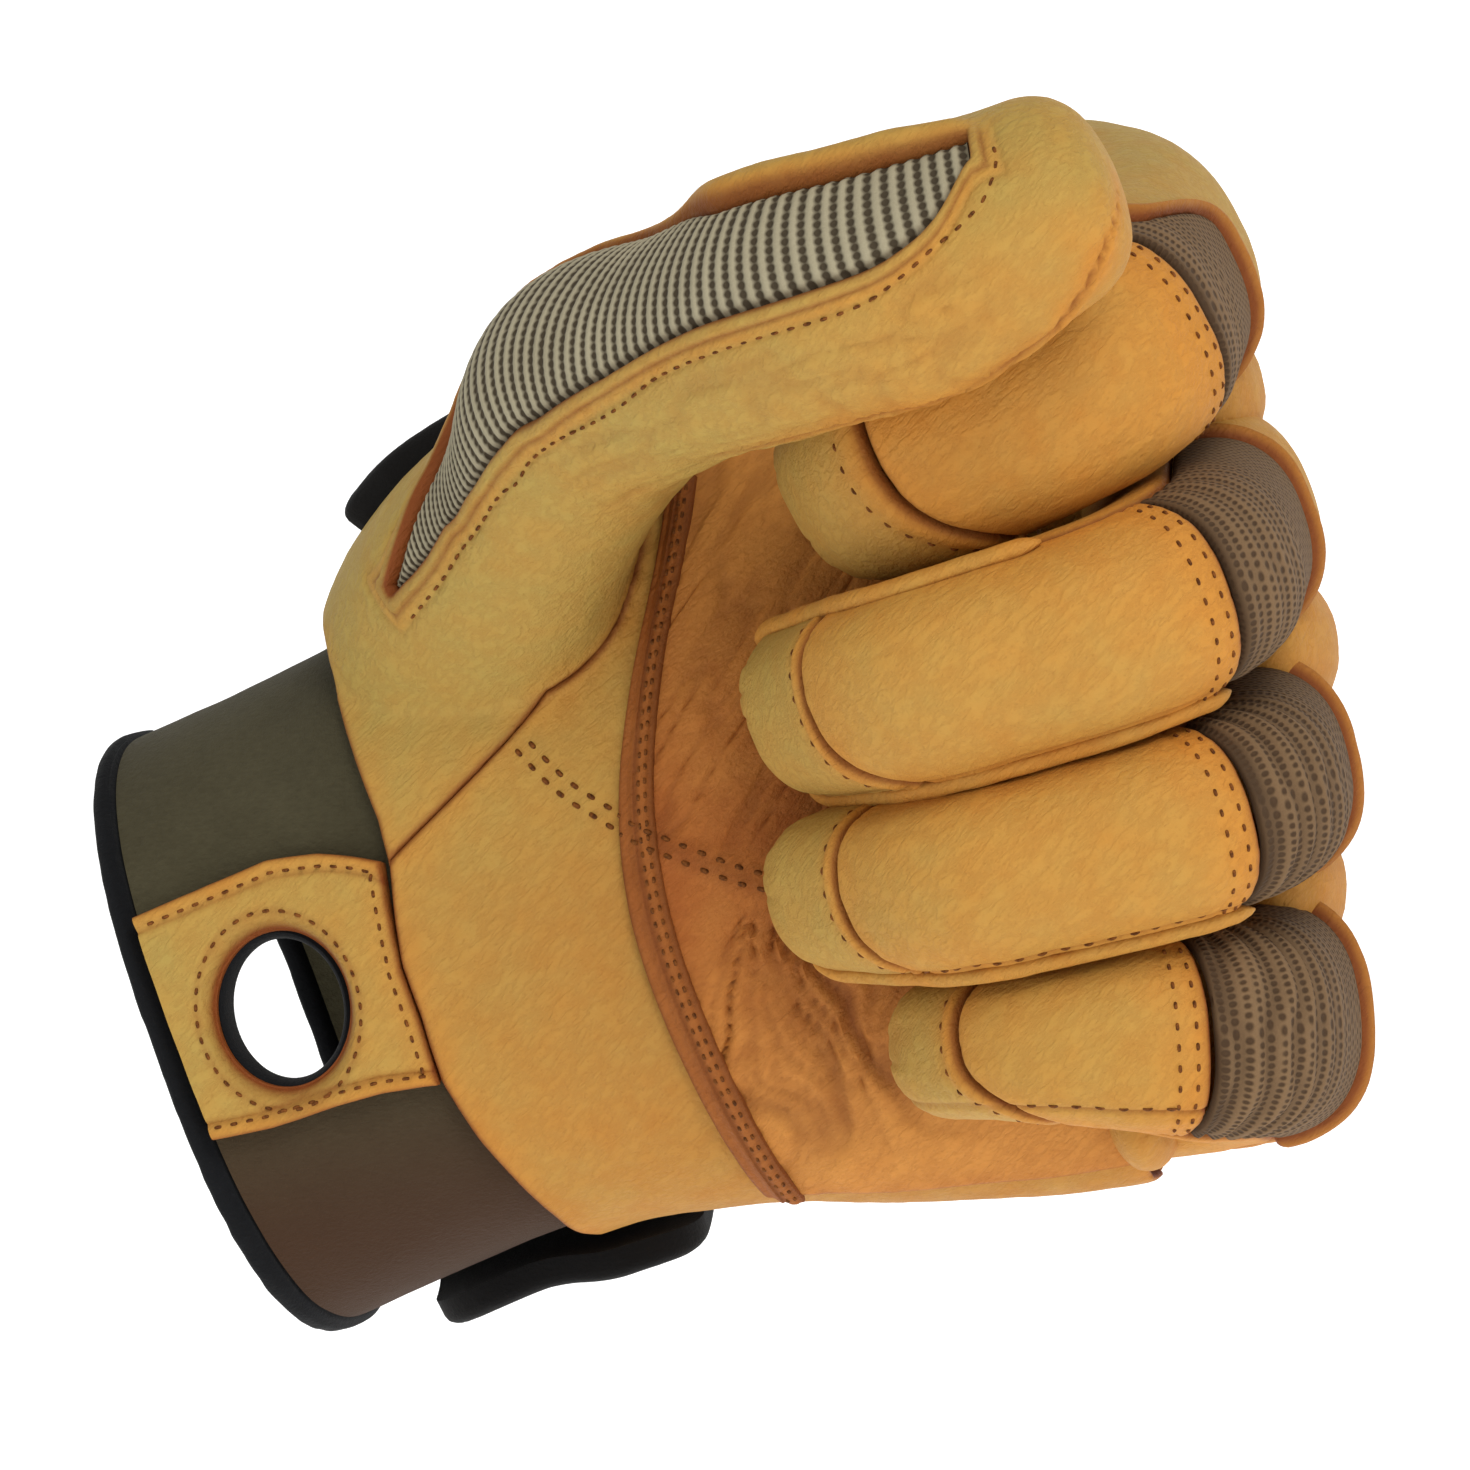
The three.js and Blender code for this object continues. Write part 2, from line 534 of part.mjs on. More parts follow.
// Fingers: inner and side leather, leather tip, pad, fabric over the joint, leather on the back
const fingerColumns = 16;
const bendRows = [0.3, 0.65, 1, 1.26, 1.78, 1.97, 2.17, 2.38, 2.72, 2.88, 3.04];
const leastRow = 0.06;
const rowsBetween = (first, last) =>
  [first, ...bendRows.filter((row) => row > first + leastRow && row < last - leastRow), last];
const tipRoundStart = 3.52;
for (const [name, finger] of Object.entries(fingers)) {
  const { surface, past } = fingerSurface(finger);
  const { from, to, gap } = panelEdges;
  const backAngles = () => steps(from, to, fingerColumns / 2);
  const frontAngles = () => steps(to + gap, 360 + from - gap, fingerColumns / 2);
  const { padFrom, tipSeam } = finger;
  const half = seamGap / 2;
  const backRows = rowsBetween(0, past(fabricFrom, -half));
  const fabricRows = rowsBetween(past(fabricFrom, half), past(padFrom, -half));
  const padRows = rowsBetween(past(padFrom, half), past(tipSeam, -half));
  const frontEnd = past(tipSeam, half - bentSeamGap);
  const front = [...backRows, ...fabricRows, ...padRows].filter((row) => row < frontEnd - 0.02);
  const roundRows = roundStations(tipRoundStart, 4, 3).slice(1);
  const tipRows = [...steps(past(tipSeam, half), tipRoundStart, 2), ...roundRows];
  const panel = (rows, angles, wall) => wallSolid(surface, rows, angles, 0, -wall, false);
  add(`${name}_inside`, panel([...front, frontEnd], frontAngles, leatherWall), leatherLook);
  add(`${name}_tip`, wallSolid(surface, tipRows, ring(fingerColumns), 0, -leatherWall, true), leatherLook);
  add(`${name}_pad`, panel(padRows, backAngles, leatherWall), leatherLook);
  add(`${name}_fabric`, panel(fabricRows, backAngles, fabricWall), meshLook);
  add(`${name}_back`, panel(backRows, backAngles, leatherWall), leatherLook);
}

export default glove;
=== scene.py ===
"""A leather belay glove, closed as in use: the looks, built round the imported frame.

Shapes are worked out in millimetres, in the frame's own axes, and become metres when a mesh is made.
"""
import math

import bpy
import numpy as np
from mathutils import Matrix, Vector
from mathutils.bvhtree import BVHTree
from mathutils.kdtree import KDTree


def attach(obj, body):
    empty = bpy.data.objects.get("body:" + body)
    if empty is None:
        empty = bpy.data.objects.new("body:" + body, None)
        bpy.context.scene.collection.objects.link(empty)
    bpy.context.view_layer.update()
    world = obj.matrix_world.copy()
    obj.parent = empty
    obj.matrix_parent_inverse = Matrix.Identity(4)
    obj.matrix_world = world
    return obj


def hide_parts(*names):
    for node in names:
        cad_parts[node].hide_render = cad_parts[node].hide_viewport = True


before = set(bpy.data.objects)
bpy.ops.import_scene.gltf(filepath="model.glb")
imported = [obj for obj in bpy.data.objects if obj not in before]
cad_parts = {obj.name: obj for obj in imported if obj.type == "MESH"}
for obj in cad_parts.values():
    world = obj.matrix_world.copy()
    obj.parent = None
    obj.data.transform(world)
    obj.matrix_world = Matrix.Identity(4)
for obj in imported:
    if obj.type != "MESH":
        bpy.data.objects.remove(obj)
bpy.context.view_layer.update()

MM = 0.001
LEATHER_WALL = 1.6
FABRIC_WALL = 1.3
CUFF_WALL = 2.0
CUFF_SINK = 1.9
PATCH_WALL, PATCH_LIFT = 1.1, 1.4
STRIP_WALL, STRIP_LIFT = 0.7, 0.85
SEAM_GAP = 0.3


def columns(names, rows):
    """A table as one array of values for each named column."""
    return dict(zip(names.split(), np.array(rows, float).T))


# Hand sections from the wrist opening to the knuckles
HAND = columns("x z lean tilt half back palm", [
    (0.0, 0.0, 10.5, 0.15, 32.2, 21.6, 21.6),
    (24.8, 6.5, 14.5, 0.07, 32.5, 21.0, 21.5),
    (42.0, 11.0, 11.0, 0, 36.0, 19.5, 22.5),
    (60.0, 16.0, 6.5, 0, 42.8, 17.5, 21.0),
    (76.0, 20.3, 2.5, 0, 48.2, 15.5, 17.5),
    (88.7, 22.8, 0.0, 0, 51.0, 14.5, 14.5),
])
HAND_SQUARENESS = 2.5
HAND_END = 4.98
CUFF_END = 1.22
BAND_STATION = 4.1
SIDE_SEAM_Y = 3.0
BINDING_STATION = 3.6 / math.hypot(24.8, 6.5)

# Thumb sections from the wrist to the tip
THUMB = columns("x y z half deep", [
    (25.6, -3.0, 27.6, 10.5, 12.0),
    (31.3, -10.0, 34.0, 11.6, 13.6),
    (38.2, -18.0, 40.0, 11.8, 13.0),
    (45.6, -26.5, 46.5, 11.9, 10.3),
    (54.0, -36.0, 54.4, 11.9, 11.8),
    (66.1, -46.6, 56.9, 11.9, 10.2),
    (78.7, -54.8, 58.9, 11.8, 11.1),
    (90.0, -59.0, 61.2, 11.2, 9.6),
    (101.0, -60.0, 63.3, 10.0, 9.2),
    (109.8, -59.5, 65.6, 9.4, 8.6),
])
THUMB_END = 9.0
THUMB_NAIL = np.array([0, -0.7, 0.7])
THUMB_TIP_ROUND = 0.75
THUMB_SQUARENESS = 2.2
THUMB_RADIUS = 11.5
THUMB_RIB = 1.38
INSERT = columns("at low high", [
    (2.1, 44, 47), (2.25, 44, 52), (2.45, 44, 62), (2.7, 46, 78), (3.0, 50, 93),
    (3.35, 50, 113), (3.65, 39, 121), (4.0, 26, 128), (4.4, 22, 129), (4.65, 27, 129),
    (5.0, 35, 124), (5.4, 39, 118), (5.8, 41, 103), (6.5, 42, 102), (7.05, 43, 100),
    (7.3, 49, 99), (7.5, 56, 98), (7.7, 71, 97.5), (7.87, 84, 97),
])

# Fingers: joints and tip, half widths and depths at the stations, and where pad and tip seam start
FINGER_START_X = 89.0
FINGER_SQUARENESS = 2.5
FINGER_INNER_SHARE = 0.9
FINGER_TIP_ROUND = 9.0
BEND_RADII = (12.6, 10.8, 10.2)
FABRIC_FROM = 1.42
PANEL_LOW, PANEL_HIGH, PANEL_GAP = 4.0, 176.0, 1.3
FINGERS = {
    "index": dict(
        knuckle=(101.0, 0.0, 60.6), middle=(104.1, -41.5, 48.5),
        end=(83.2, -41.0, 43.1), tip=(74.0, -22.5, 42.4),
        halves=(13.8, 12.8, 10.9, 10.1, 9.0), depths=(13.6, 12.0, 10.2, 9.2, 8.2),
        pad_from=1.86, tip_seam=2.92),
    "middle": dict(
        knuckle=(102.8, 0.0, 35.0), middle=(107.9, -46.0, 26.4),
        end=(82.0, -46.5, 22.9), tip=(65.4, -23.5, 22.3),
        halves=(11.4, 10.8, 9.7, 9.3, 8.2), depths=(13.6, 12.0, 10.2, 9.2, 8.2),
        pad_from=1.98, tip_seam=3.2),
    "ring": dict(
        knuckle=(102.2, 0.0, 11.2), middle=(108.8, -42.0, 6.5),
        end=(83.0, -43.0, 4.3), tip=(63.0, -23.5, 5.6),
        halves=(11.7, 11.5, 9.2, 8.5, 7.4), depths=(13.6, 12.0, 10.0, 8.8, 7.6),
        pad_from=2.04, tip_seam=3.34),
    "little": dict(
        knuckle=(101.2, 0.0, -13.7), middle=(104.0, -36.8, -13.5),
        end=(86.6, -38.2, -11.9), tip=(71.8, -24.2, -10.8),
        halves=(12.4, 12.3, 10.2, 7.4, 6.8), depths=(13.2, 11.6, 9.6, 8.0, 7.0),
        pad_from=2.2, tip_seam=3.2),
}

# Lines on the palm, as (x, z) points: the seam round the ball of the thumb, the edge strip of the
# palm patch, and the seam across the palm
THENAR_SEAM = [
    (10.0, 4.0), (22.8, 13.9), (30.4, 19.3), (37.5, 24.4), (43.4, 29.7), (48.3, 35.7), (54.0, 44.0)]
PATCH_EDGE = [
    (57.6, 46.0), (55.4, 38.0), (51.6, 27.2), (49.0, 17.0), (48.3, 8.0), (49.1, -1.0), (51.6, -13.3),
    (54.6, -25.0), (56.0, -30.0)]
CROSS_SEAM = [
    (38.0, 23.9), (41.6, 19.0), (45.1, 15.8), (48.5, 13.1), (53.9, 9.8), (58.8, 7.1), (64.0, 5.4)]

CLIP_HOLE = dict(x=10.4, z=2.0, radius=7.6)
TAB = columns("at low high", [
    (0.17, 256, 288), (0.4, 254, 288), (0.63, 253, 288), (0.78, 252, 285.5), (0.985, 249.5, 280),
])
# Where the tab meets the palm, and how far the leather's wrist edge swings off its straight line
TAB_END = columns("angle station", [(250, 0.91), (261, 0.945), (268, 0.96), (272, 1.0), (280, 1.06)])
WRIST_EDGE = columns("z shift", [
    (-22, 0), (-13.6, -1.5), (-7.3, -2.0), (-0.9, -1.1), (4.4, -0.7), (8.7, 0.4), (14, 2.0), (18.6, 2.6),
    (30.5, 2.3), (36, 3.4),
])
STRAP = dict(x=28.6, z=11.0, lean=-1.3, width=28.5, reach=3.2, wall=2.9)
# How far forward the strap comes at each height, and how much its wrist edge draws in there
STRAP_END = columns("z front drawn_in", [
    (-32, 1.0, 1.2), (-24, 1.0, 0), (28, 1.0, 0), (34, -6.0, 0), (39, -10.0, 5.5), (44, -14.0, 7.3),
    (52, -18.0, 7.3),
])


# Noise and small tools

TABLE = np.random.default_rng(11).permutation(256)
LEVELS = np.random.default_rng(12).uniform(-1, 1, 256)


def noise(points, size, seed=0):
    """Smooth noise from -1 to 1 at each point, with lumps of the given size."""
    place = np.asarray(points) / size + seed * 17.3
    cell = np.floor(place).astype(int)
    t = place - cell
    t = t * t * t * (t * (6 * t - 15) + 10)
    total = np.zeros(len(place))
    for dx in (0, 1):
        for dy in (0, 1):
            for dz in (0, 1):
                mixed = TABLE[(cell[:, 0] + dx) & 255]
                mixed = TABLE[(mixed + cell[:, 1] + dy) & 255]
                mixed = TABLE[(mixed + cell[:, 2] + dz) & 255]
                share = (t[:, 0] if dx else 1 - t[:, 0]) * (t[:, 1] if dy else 1 - t[:, 1])
                total += LEVELS[mixed] * share * (t[:, 2] if dz else 1 - t[:, 2])
    return total


def ridges(points, size, seed=0):
    """Noise with sharp valleys, from -1 in the valleys to about 0."""
    return np.clip(np.abs(noise(points, size, seed)) * 3, 0, 1) - 1


def eased(value, start, stop):
    share = np.clip((value - start) / (stop - start), 0, 1)
    return share * share * (3 - 2 * share)


def bump_at(distance, width):
    return np.exp(-(distance / width) ** 2)


def smooth(values, station):
    """The value at a station, on a smooth curve through the values."""
    values = np.asarray(values, float)
    last = len(values) - 1
    i = np.clip(np.floor(station).astype(int), 0, last - 1)
    t = station - i
    a, b = values[np.maximum(i - 1, 0)], values[i]
    c, d = values[i + 1], values[np.minimum(i + 2, last)]
    return b + 0.5 * t * ((c - a) + t * ((2 * a - 5 * b + 4 * c - d) + t * (3 * (b - c) + d - a)))


def curve_through(line, step=0.5):
    """Points every step or so on a smooth curve through the given ones."""
    line = np.asarray(line, float)
    place = np.linspace(0, len(line) - 1, 40 * len(line))
    fine = np.stack([smooth(line[:, k], place) for k in range(line.shape[1])], 1)
    length = np.concatenate([[0], np.cumsum(np.linalg.norm(np.diff(fine, axis=0), axis=1))])
    even = np.linspace(0, length[-1], max(int(length[-1] / step), 2))
    return np.stack([np.interp(even, length, fine[:, k]) for k in range(line.shape[1])], 1)


def beside(places, line):
    """Signed distance in the plane from each place to a line, positive on the line's left."""
    start, step = line[:-1], np.diff(line, axis=0)
    best = np.full(len(places), 1e9)
    signed = np.zeros(len(places))
    for a, d in zip(start, step):
        away = places - a
        t = np.clip(away @ d / (d @ d), 0, 1)
        gap = away - t[:, None] * d
        distance = np.linalg.norm(gap, axis=1)
        nearer = distance < best
        best = np.where(nearer, distance, best)
        side = np.sign(d[0] * away[:, 1] - d[1] * away[:, 0])
        signed = np.where(nearer, side * distance, signed)
    return signed


# Surfaces of the glove's outer skin

def section(angle, squareness):
    turn = np.radians(angle)

    def bulge(value):
        return np.sign(value) * np.abs(value) ** (2 / squareness)
    return bulge(np.cos(turn)), bulge(np.sin(turn))


def even_angles(start, stop, count, half, deep, squareness):
    """Angles round a section that lie at even distances along its outline."""
    fine = np.linspace(start, stop, 1500)
    across, through = section(fine, squareness)
    steps = np.hypot(np.diff(across * half), np.diff(through * deep))
    length = np.concatenate([[0], np.cumsum(steps)])
    return np.interp(np.linspace(0, length[-1], count), length, fine)


def hand_point(angle, station, offset):
    across, through = section(angle, HAND_SQUARENESS)
    row = {name: smooth(values, station) for name, values in HAND.items()}
    lean = np.radians(row["lean"])
    width = (row["half"] + offset) * across
    depth = (np.where(through > 0, row["back"], row["palm"]) + offset) * through
    x = row["x"] + row["tilt"] * depth - np.sin(lean) * width
    return np.stack([x, depth, row["z"] + np.cos(lean) * width], -1)


def round_end(left, length):
    return np.where(left >= length, 1.0, np.sqrt(np.clip(1 - (1 - left / length) ** 2, 0, 1)))


def unit(vectors):
    return vectors / np.linalg.norm(vectors, axis=-1, keepdims=True)


def thumb_path(station):
    return np.stack([smooth(THUMB[k], station) for k in "xyz"], -1)


def thumb_axes(station):
    near = np.minimum(station, THUMB_END - 0.02)
    along = unit(thumb_path(near + 0.01) - thumb_path(near - 0.01))
    nail = unit(THUMB_NAIL - along * (along @ THUMB_NAIL)[..., None])
    return along, nail, np.cross(along, nail)


def thumb_point(angle, station, offset):
    along, nail, side = thumb_axes(station)
    across, through = section(angle, THUMB_SQUARENESS)
    share = round_end(THUMB_END - station, THUMB_TIP_ROUND)
    half = (smooth(THUMB["half"], station) + offset) * share * across
    deep = (smooth(THUMB["deep"], station) + offset) * share * through
    past = np.clip(station - THUMB_END + THUMB_TIP_ROUND, 0, None) / THUMB_TIP_ROUND * offset
    return thumb_path(station) + side * half[..., None] + nail * deep[..., None] + along * past[..., None]


def thumb_place(points):
    """Station, angle round the tube and share of the tube's radius at points near the thumb."""
    samples = np.linspace(0, THUMB_END, 241)
    path = thumb_path(samples)
    nearest = np.zeros(len(points), int)
    best = np.full(len(points), 1e9)
    for k, middle in enumerate(path):
        distance = np.linalg.norm(points - middle, axis=1)
        nearer = distance < best
        best[nearer] = distance[nearer]
        nearest[nearer] = k
    station = samples[nearest]
    along, nail, side = thumb_axes(station)
    speed = np.linalg.norm(np.gradient(path, samples, axis=0), axis=1)[nearest]
    ahead = np.einsum("ij,ij->i", points - path[nearest], along)
    station = np.clip(station + ahead / speed, 0, THUMB_END)
    along, nail, side = thumb_axes(station)
    away = points - thumb_path(station)
    across = np.einsum("ij,ij->i", away, side) / smooth(THUMB["half"], station)
    through = np.einsum("ij,ij->i", away, nail) / smooth(THUMB["deep"], station)
    power = THUMB_SQUARENESS / 2

    def straight(value):
        return np.sign(value) * np.abs(value) ** power
    radius = np.hypot(straight(across), straight(through)) ** (1 / power)
    first = np.zeros(1)
    before = (points - thumb_path(first)) @ thumb_axes(first)[0][0]
    radius = np.where(before < -2, 9.0, radius)
    return station, np.degrees(np.arctan2(straight(through), straight(across))) % 360, radius


class Finger:
    """A finger's outer skin. Angle 0 is the side towards the thumb, 90 the back, 270 the inside."""

    def __init__(self, knuckle, middle, end, tip, halves, depths, pad_from, tip_seam):
        start = (FINGER_START_X, knuckle[1], knuckle[2])
        corners = [np.array(p, float) for p in (start, knuckle, middle, end, tip)]
        points, marks = [corners[0]], [0]
        arc_steps = 60
        for i in (1, 2, 3):
            back = unit(corners[i - 1] - corners[i])
            ahead = unit(corners[i + 1] - corners[i])
            half = math.acos(back @ ahead) / 2
            radius = BEND_RADII[i - 1]
            inward = unit(back + ahead)
            across = unit(back - ahead)
            centre = corners[i] + inward * radius / math.sin(half)
            for a in np.linspace(half - math.pi / 2, math.pi / 2 - half, arc_steps + 1):
                points.append(centre - inward * radius * math.cos(a) - across * radius * math.sin(a))
            marks.append(len(points) - 1 - arc_steps // 2)
        points.append(corners[4])
        marks.append(len(points) - 1)
        self.points = np.array(points)
        self.lengths = np.concatenate([[0], np.cumsum(np.linalg.norm(np.diff(self.points, axis=0), axis=1))])
        self.marks = self.lengths[marks]
        plane = unit(np.cross(corners[2] - corners[1], corners[3] - corners[2]))
        self.plane = plane if plane[2] > 0 else -plane
        self.halves, self.depths = np.array(halves), np.array(depths)
        self.pad_from, self.tip_seam = pad_from, tip_seam

    def line(self, distance):
        return np.stack([np.interp(distance, self.lengths, self.points[:, k]) for k in range(3)], -1)

    def distance(self, station):
        return np.interp(station, range(5), self.marks)

    def station(self, distance):
        return np.interp(distance, self.marks, range(5))

    def past(self, station, millimetres):
        return self.station(self.distance(station) + millimetres)

    def surface(self, angle, station, offset):
        total = self.lengths[-1]
        distance = self.distance(station)
        behind = self.line(np.maximum(distance - 0.4, 0))
        along = unit(self.line(np.minimum(distance + 0.4, total)) - behind)
        side = unit(self.plane - along * (along @ self.plane)[..., None])
        back = np.cross(side, along)
        share = round_end(total - distance, FINGER_TIP_ROUND)
        across, through = section(angle, FINGER_SQUARENESS)
        inner = np.where(through < 0, FINGER_INNER_SHARE, 1)
        half = (smooth(self.halves, station) + offset) * share * across
        deep = (smooth(self.depths, station) + offset) * share * through * inner
        past = np.clip(distance - total + FINGER_TIP_ROUND, 0, None) / FINGER_TIP_ROUND * offset
        return self.line(distance) + side * half[..., None] + back * deep[..., None] + along * past[..., None]


# Sheets: a surface as points, outward steps of one millimetre, triangles and named values

class Sheet:
    def __init__(self, points, outward, triangles, values):
        self.points, self.outward = np.asarray(points, float), np.asarray(outward, float)
        self.triangles, self.values = np.asarray(triangles, int), dict(values)

    def split(self, name, level=0.0):
        """Cuts the triangles along the line where a named value has the given level."""
        f = self.values[name] - level
        f = np.where(np.abs(f) < 1e-5, 1e-5, f)
        side = f[self.triangles] > 0
        mixed = side.any(1) & ~side.all(1)
        cut, s = self.triangles[mixed], side[mixed]
        lone = np.where(s.sum(1) == 1, s.argmax(1), (~s).argmax(1))
        turn = np.arange(len(cut))
        a, b, c = (cut[turn, (lone + k) % 3] for k in range(3))
        pairs = np.sort(np.concatenate([np.stack([a, b], 1), np.stack([a, c], 1)]), axis=1)
        pairs, where = np.unique(pairs, axis=0, return_inverse=True)
        where = where.ravel() + len(self.points)
        share = f[pairs[:, 0]] / (f[pairs[:, 0]] - f[pairs[:, 1]])

        def blended(array):
            w = share.reshape((-1,) + (1,) * (array.ndim - 1))
            return np.concatenate([array, array[pairs[:, 0]] * (1 - w) + array[pairs[:, 1]] * w])
        ab, ac = where[:len(cut)], where[len(cut):]
        new = [np.stack(t, 1) for t in ((a, ab, ac), (ab, b, c), (ab, c, ac))]
        made = Sheet(blended(self.points), blended(self.outward),
                     np.concatenate([self.triangles[~mixed], *new]),
                     {k: blended(v) for k, v in self.values.items()})
        made.values[name][len(self.points):] = level
        return made

    def split_rows(self, name, levels):
        made = self
        for level in levels:
            made = made.split(name, level)
        return made

    def kept(self, inside):
        """The part whose triangles' middles have a value above zero."""
        chosen = self.triangles[inside[self.triangles].mean(1) > 0]
        used, index = np.unique(chosen, return_inverse=True)
        return Sheet(self.points[used], self.outward[used], index.reshape(-1, 3),
                     {k: v[used] for k, v in self.values.items()})

    def finer(self):
        """Each triangle as four."""
        t = self.triangles
        pairs = np.sort(np.concatenate([t[:, [0, 1]], t[:, [1, 2]], t[:, [2, 0]]]), axis=1)
        pairs, where = np.unique(pairs, axis=0, return_inverse=True)
        ab, bc, ca = where.ravel().reshape(3, -1) + len(self.points)
        a, b, c = t.T

        def halved(array):
            return np.concatenate([array, (array[pairs[:, 0]] + array[pairs[:, 1]]) / 2])
        parts = [np.stack(p, 1) for p in ((a, ab, ca), (ab, b, bc), (ca, bc, c), (ab, bc, ca))]
        return Sheet(halved(self.points), halved(self.outward), np.concatenate(parts),
                     {k: halved(v) for k, v in self.values.items()})

    def border(self):
        t = self.triangles
        edges = np.concatenate([t[:, [0, 1]], t[:, [1, 2]], t[:, [2, 0]]])
        _, where, count = np.unique(np.sort(edges, axis=1), axis=0, return_inverse=True, return_counts=True)
        return edges[count[where.ravel()] == 1]


def grid_sheet(surface, angles, stations, closed=False):
    """A sheet over a grid of angles and stations, both arrays of the same shape (rows, columns)."""
    rows, cols = angles.shape
    points = surface(angles, stations, np.zeros_like(angles))
    outward = surface(angles, stations, np.ones_like(angles)) - points
    number = np.arange(rows * cols).reshape(rows, cols)
    if closed:
        number = np.concatenate([number, number[:, :1]], 1)
    a, b = number[:-1, :-1].ravel(), number[:-1, 1:].ravel()
    c, d = number[1:, 1:].ravel(), number[1:, :-1].ravel()
    triangles = np.concatenate([np.stack([a, b, c], 1), np.stack([a, c, d], 1)])
    sheet = Sheet(points.reshape(-1, 3), outward.reshape(-1, 3), triangles,
                  {"angle": angles.ravel(), "station": stations.ravel()})
    p = sheet.points[triangles]
    crossed = np.cross(p[:, 1] - p[:, 0], p[:, 2] - p[:, 0])
    facing = np.einsum("ij,ij->i", crossed, sheet.outward[triangles[:, 0]])
    if facing.sum() < 0:
        sheet.triangles = triangles[:, ::-1]
    return sheet


def edge_rows(sheet):
    """The sheet with its distance from the border as the value edge, and rows of points beside it."""
    ends = sheet.points[sheet.border()]
    places = np.concatenate([ends[:, 0] + (ends[:, 1] - ends[:, 0]) * t for t in (0, 1 / 3, 2 / 3)])
    tree = KDTree(len(places))
    for number, place in enumerate(places):
        tree.insert(place, number)
    tree.balance()
    sheet.values["edge"] = np.array([tree.find(place)[2] for place in sheet.points])
    return sheet.split_rows("edge", EDGE_ROWS[1:])


def shell_object(name, sheet, relief, wall, material, shades=None, uv=None):
    """A closed wall from a sheet: the outer face moved out by the relief, the inner face in by the wall."""
    count = len(sheet.points)
    outer = sheet.points + sheet.outward * np.reshape(relief, (-1, 1))
    inner = sheet.points - sheet.outward * np.reshape(wall, (-1, 1))
    a, b = sheet.border().T
    sides = np.stack([b, a, a + count, b + count], 1)
    faces = [*sheet.triangles.tolist(), *(sheet.triangles[:, ::-1] + count).tolist(), *sides.tolist()]
    doubled = {k: np.concatenate([v, v]) for k, v in (shades or {}).items()}
    uvs = None if uv is None else np.concatenate([uv, uv])
    return mesh_object(name, np.concatenate([outer, inner]), faces, material, doubled, uvs)


def mesh_object(name, points, faces, material, shades=None, uv=None):
    mesh = bpy.data.meshes.new(name)
    mesh.from_pydata((np.asarray(points) * MM).tolist(), [], faces)
    for key, values in (shades or {}).items():
        layer = mesh.attributes.new(key, "FLOAT", "POINT")
        layer.data.foreach_set("value", np.asarray(values, np.float32))
    if uv is not None:
        corners = np.zeros(len(mesh.loops), np.int32)
        mesh.loops.foreach_get("vertex_index", corners)
        layer = mesh.uv_layers.new(name="UVMap")
        layer.data.foreach_set("uv", np.asarray(uv, np.float32)[corners].ravel())
    mesh.materials.append(material)
    mesh.shade_smooth()
    mesh.set_sharp_from_angle(angle=math.radians(62))
    made = bpy.data.objects.new(name, mesh)
    bpy.context.scene.collection.objects.link(made)
    return made


def tube_faces(rings, sides, looped=False):
    """Faces of a tube of points, ring after ring, closed at its ends or on itself."""
    faces = []
    for i in range(rings if looped else rings - 1):
        near, far = i * sides, (i + 1) % rings * sides
        for j in range(sides):
            k = (j + 1) % sides
            faces.append((near + j, far + j, far + k, near + k))
    if not looped:
        faces.append(tuple(range(sides)))
        faces.append(tuple(reversed(range((rings - 1) * sides, rings * sides))))
    return faces


def finished(piece, slot, *nodes):
    """Attaches a piece to the root and hides the CAD nodes it stands for."""
    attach(piece, "root")
    if nodes:
        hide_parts(*nodes)
    return piece


# Stitches: short rounded thread ends along a line of points with outward directions

def stitch_row(line, outward, pitch=1.95, length=1.0, thick=0.17, rise=0.06):
    """Points and faces of one row of stitches on a line given by close points."""
    steps = np.linalg.norm(np.diff(line, axis=0), axis=1)
    run = np.concatenate([[0], np.cumsum(steps)])
    count = int((run[-1] - length) / pitch) + 1
    first = (run[-1] - (count - 1) * pitch - length) / 2
    rings, sides = 6, 6
    points, faces = [], []

    def at(distance, array):
        return np.stack([np.interp(distance, run, array[:, k]) for k in range(3)], -1)
    for n in range(count):
        start = first + n * pitch
        share = np.linspace(0, 1, rings)
        middle = at(start + share * length, line)
        up = unit(at(start + share * length, outward))
        along = unit(middle[-1] - middle[0])
        side = unit(np.cross(along, up))
        swell = np.sqrt(np.clip(1 - (2 * share - 1) ** 4, 0.05, 1)) * thick
        lift = rise - 0.3 * (2 * share - 1) ** 2
        base = len(points)
        for k in range(rings):
            for j in range(sides):
                turn = 2 * math.pi * j / sides
                round_off = side[k] * math.cos(turn) + up[k] * math.sin(turn)
                points.append(middle[k] + up[k] * lift[k] + round_off * swell[k])
        faces += [tuple(base + i for i in face) for face in tube_faces(rings, sides)]
    return points, faces


def stitches_object(name, rows, **form):
    """One piece of all the stitches on some lines, each a pair of points and outward directions."""
    points, faces = [], []
    for line, outward in rows:
        some, quads = stitch_row(line, outward, **form)
        faces += [tuple(i + len(points) for i in face) for face in quads]
        points += some
    return finished(mesh_object(name, points, faces, THREAD), "leather")


def face_tree(piece):
    return BVHTree.FromObject(piece, bpy.context.evaluated_depsgraph_get())


def laid(hits):
    """Points and softened outward directions from a run of hits on faces."""
    hits = [hit for hit in hits if hit[0] is not None]
    points = np.array([hit[0] for hit in hits]) / MM
    outward = np.array([hit[1] for hit in hits])
    soft = np.stack([np.convolve(outward[:, k], np.ones(7), "same") for k in range(3)], 1)
    return points, unit(soft)


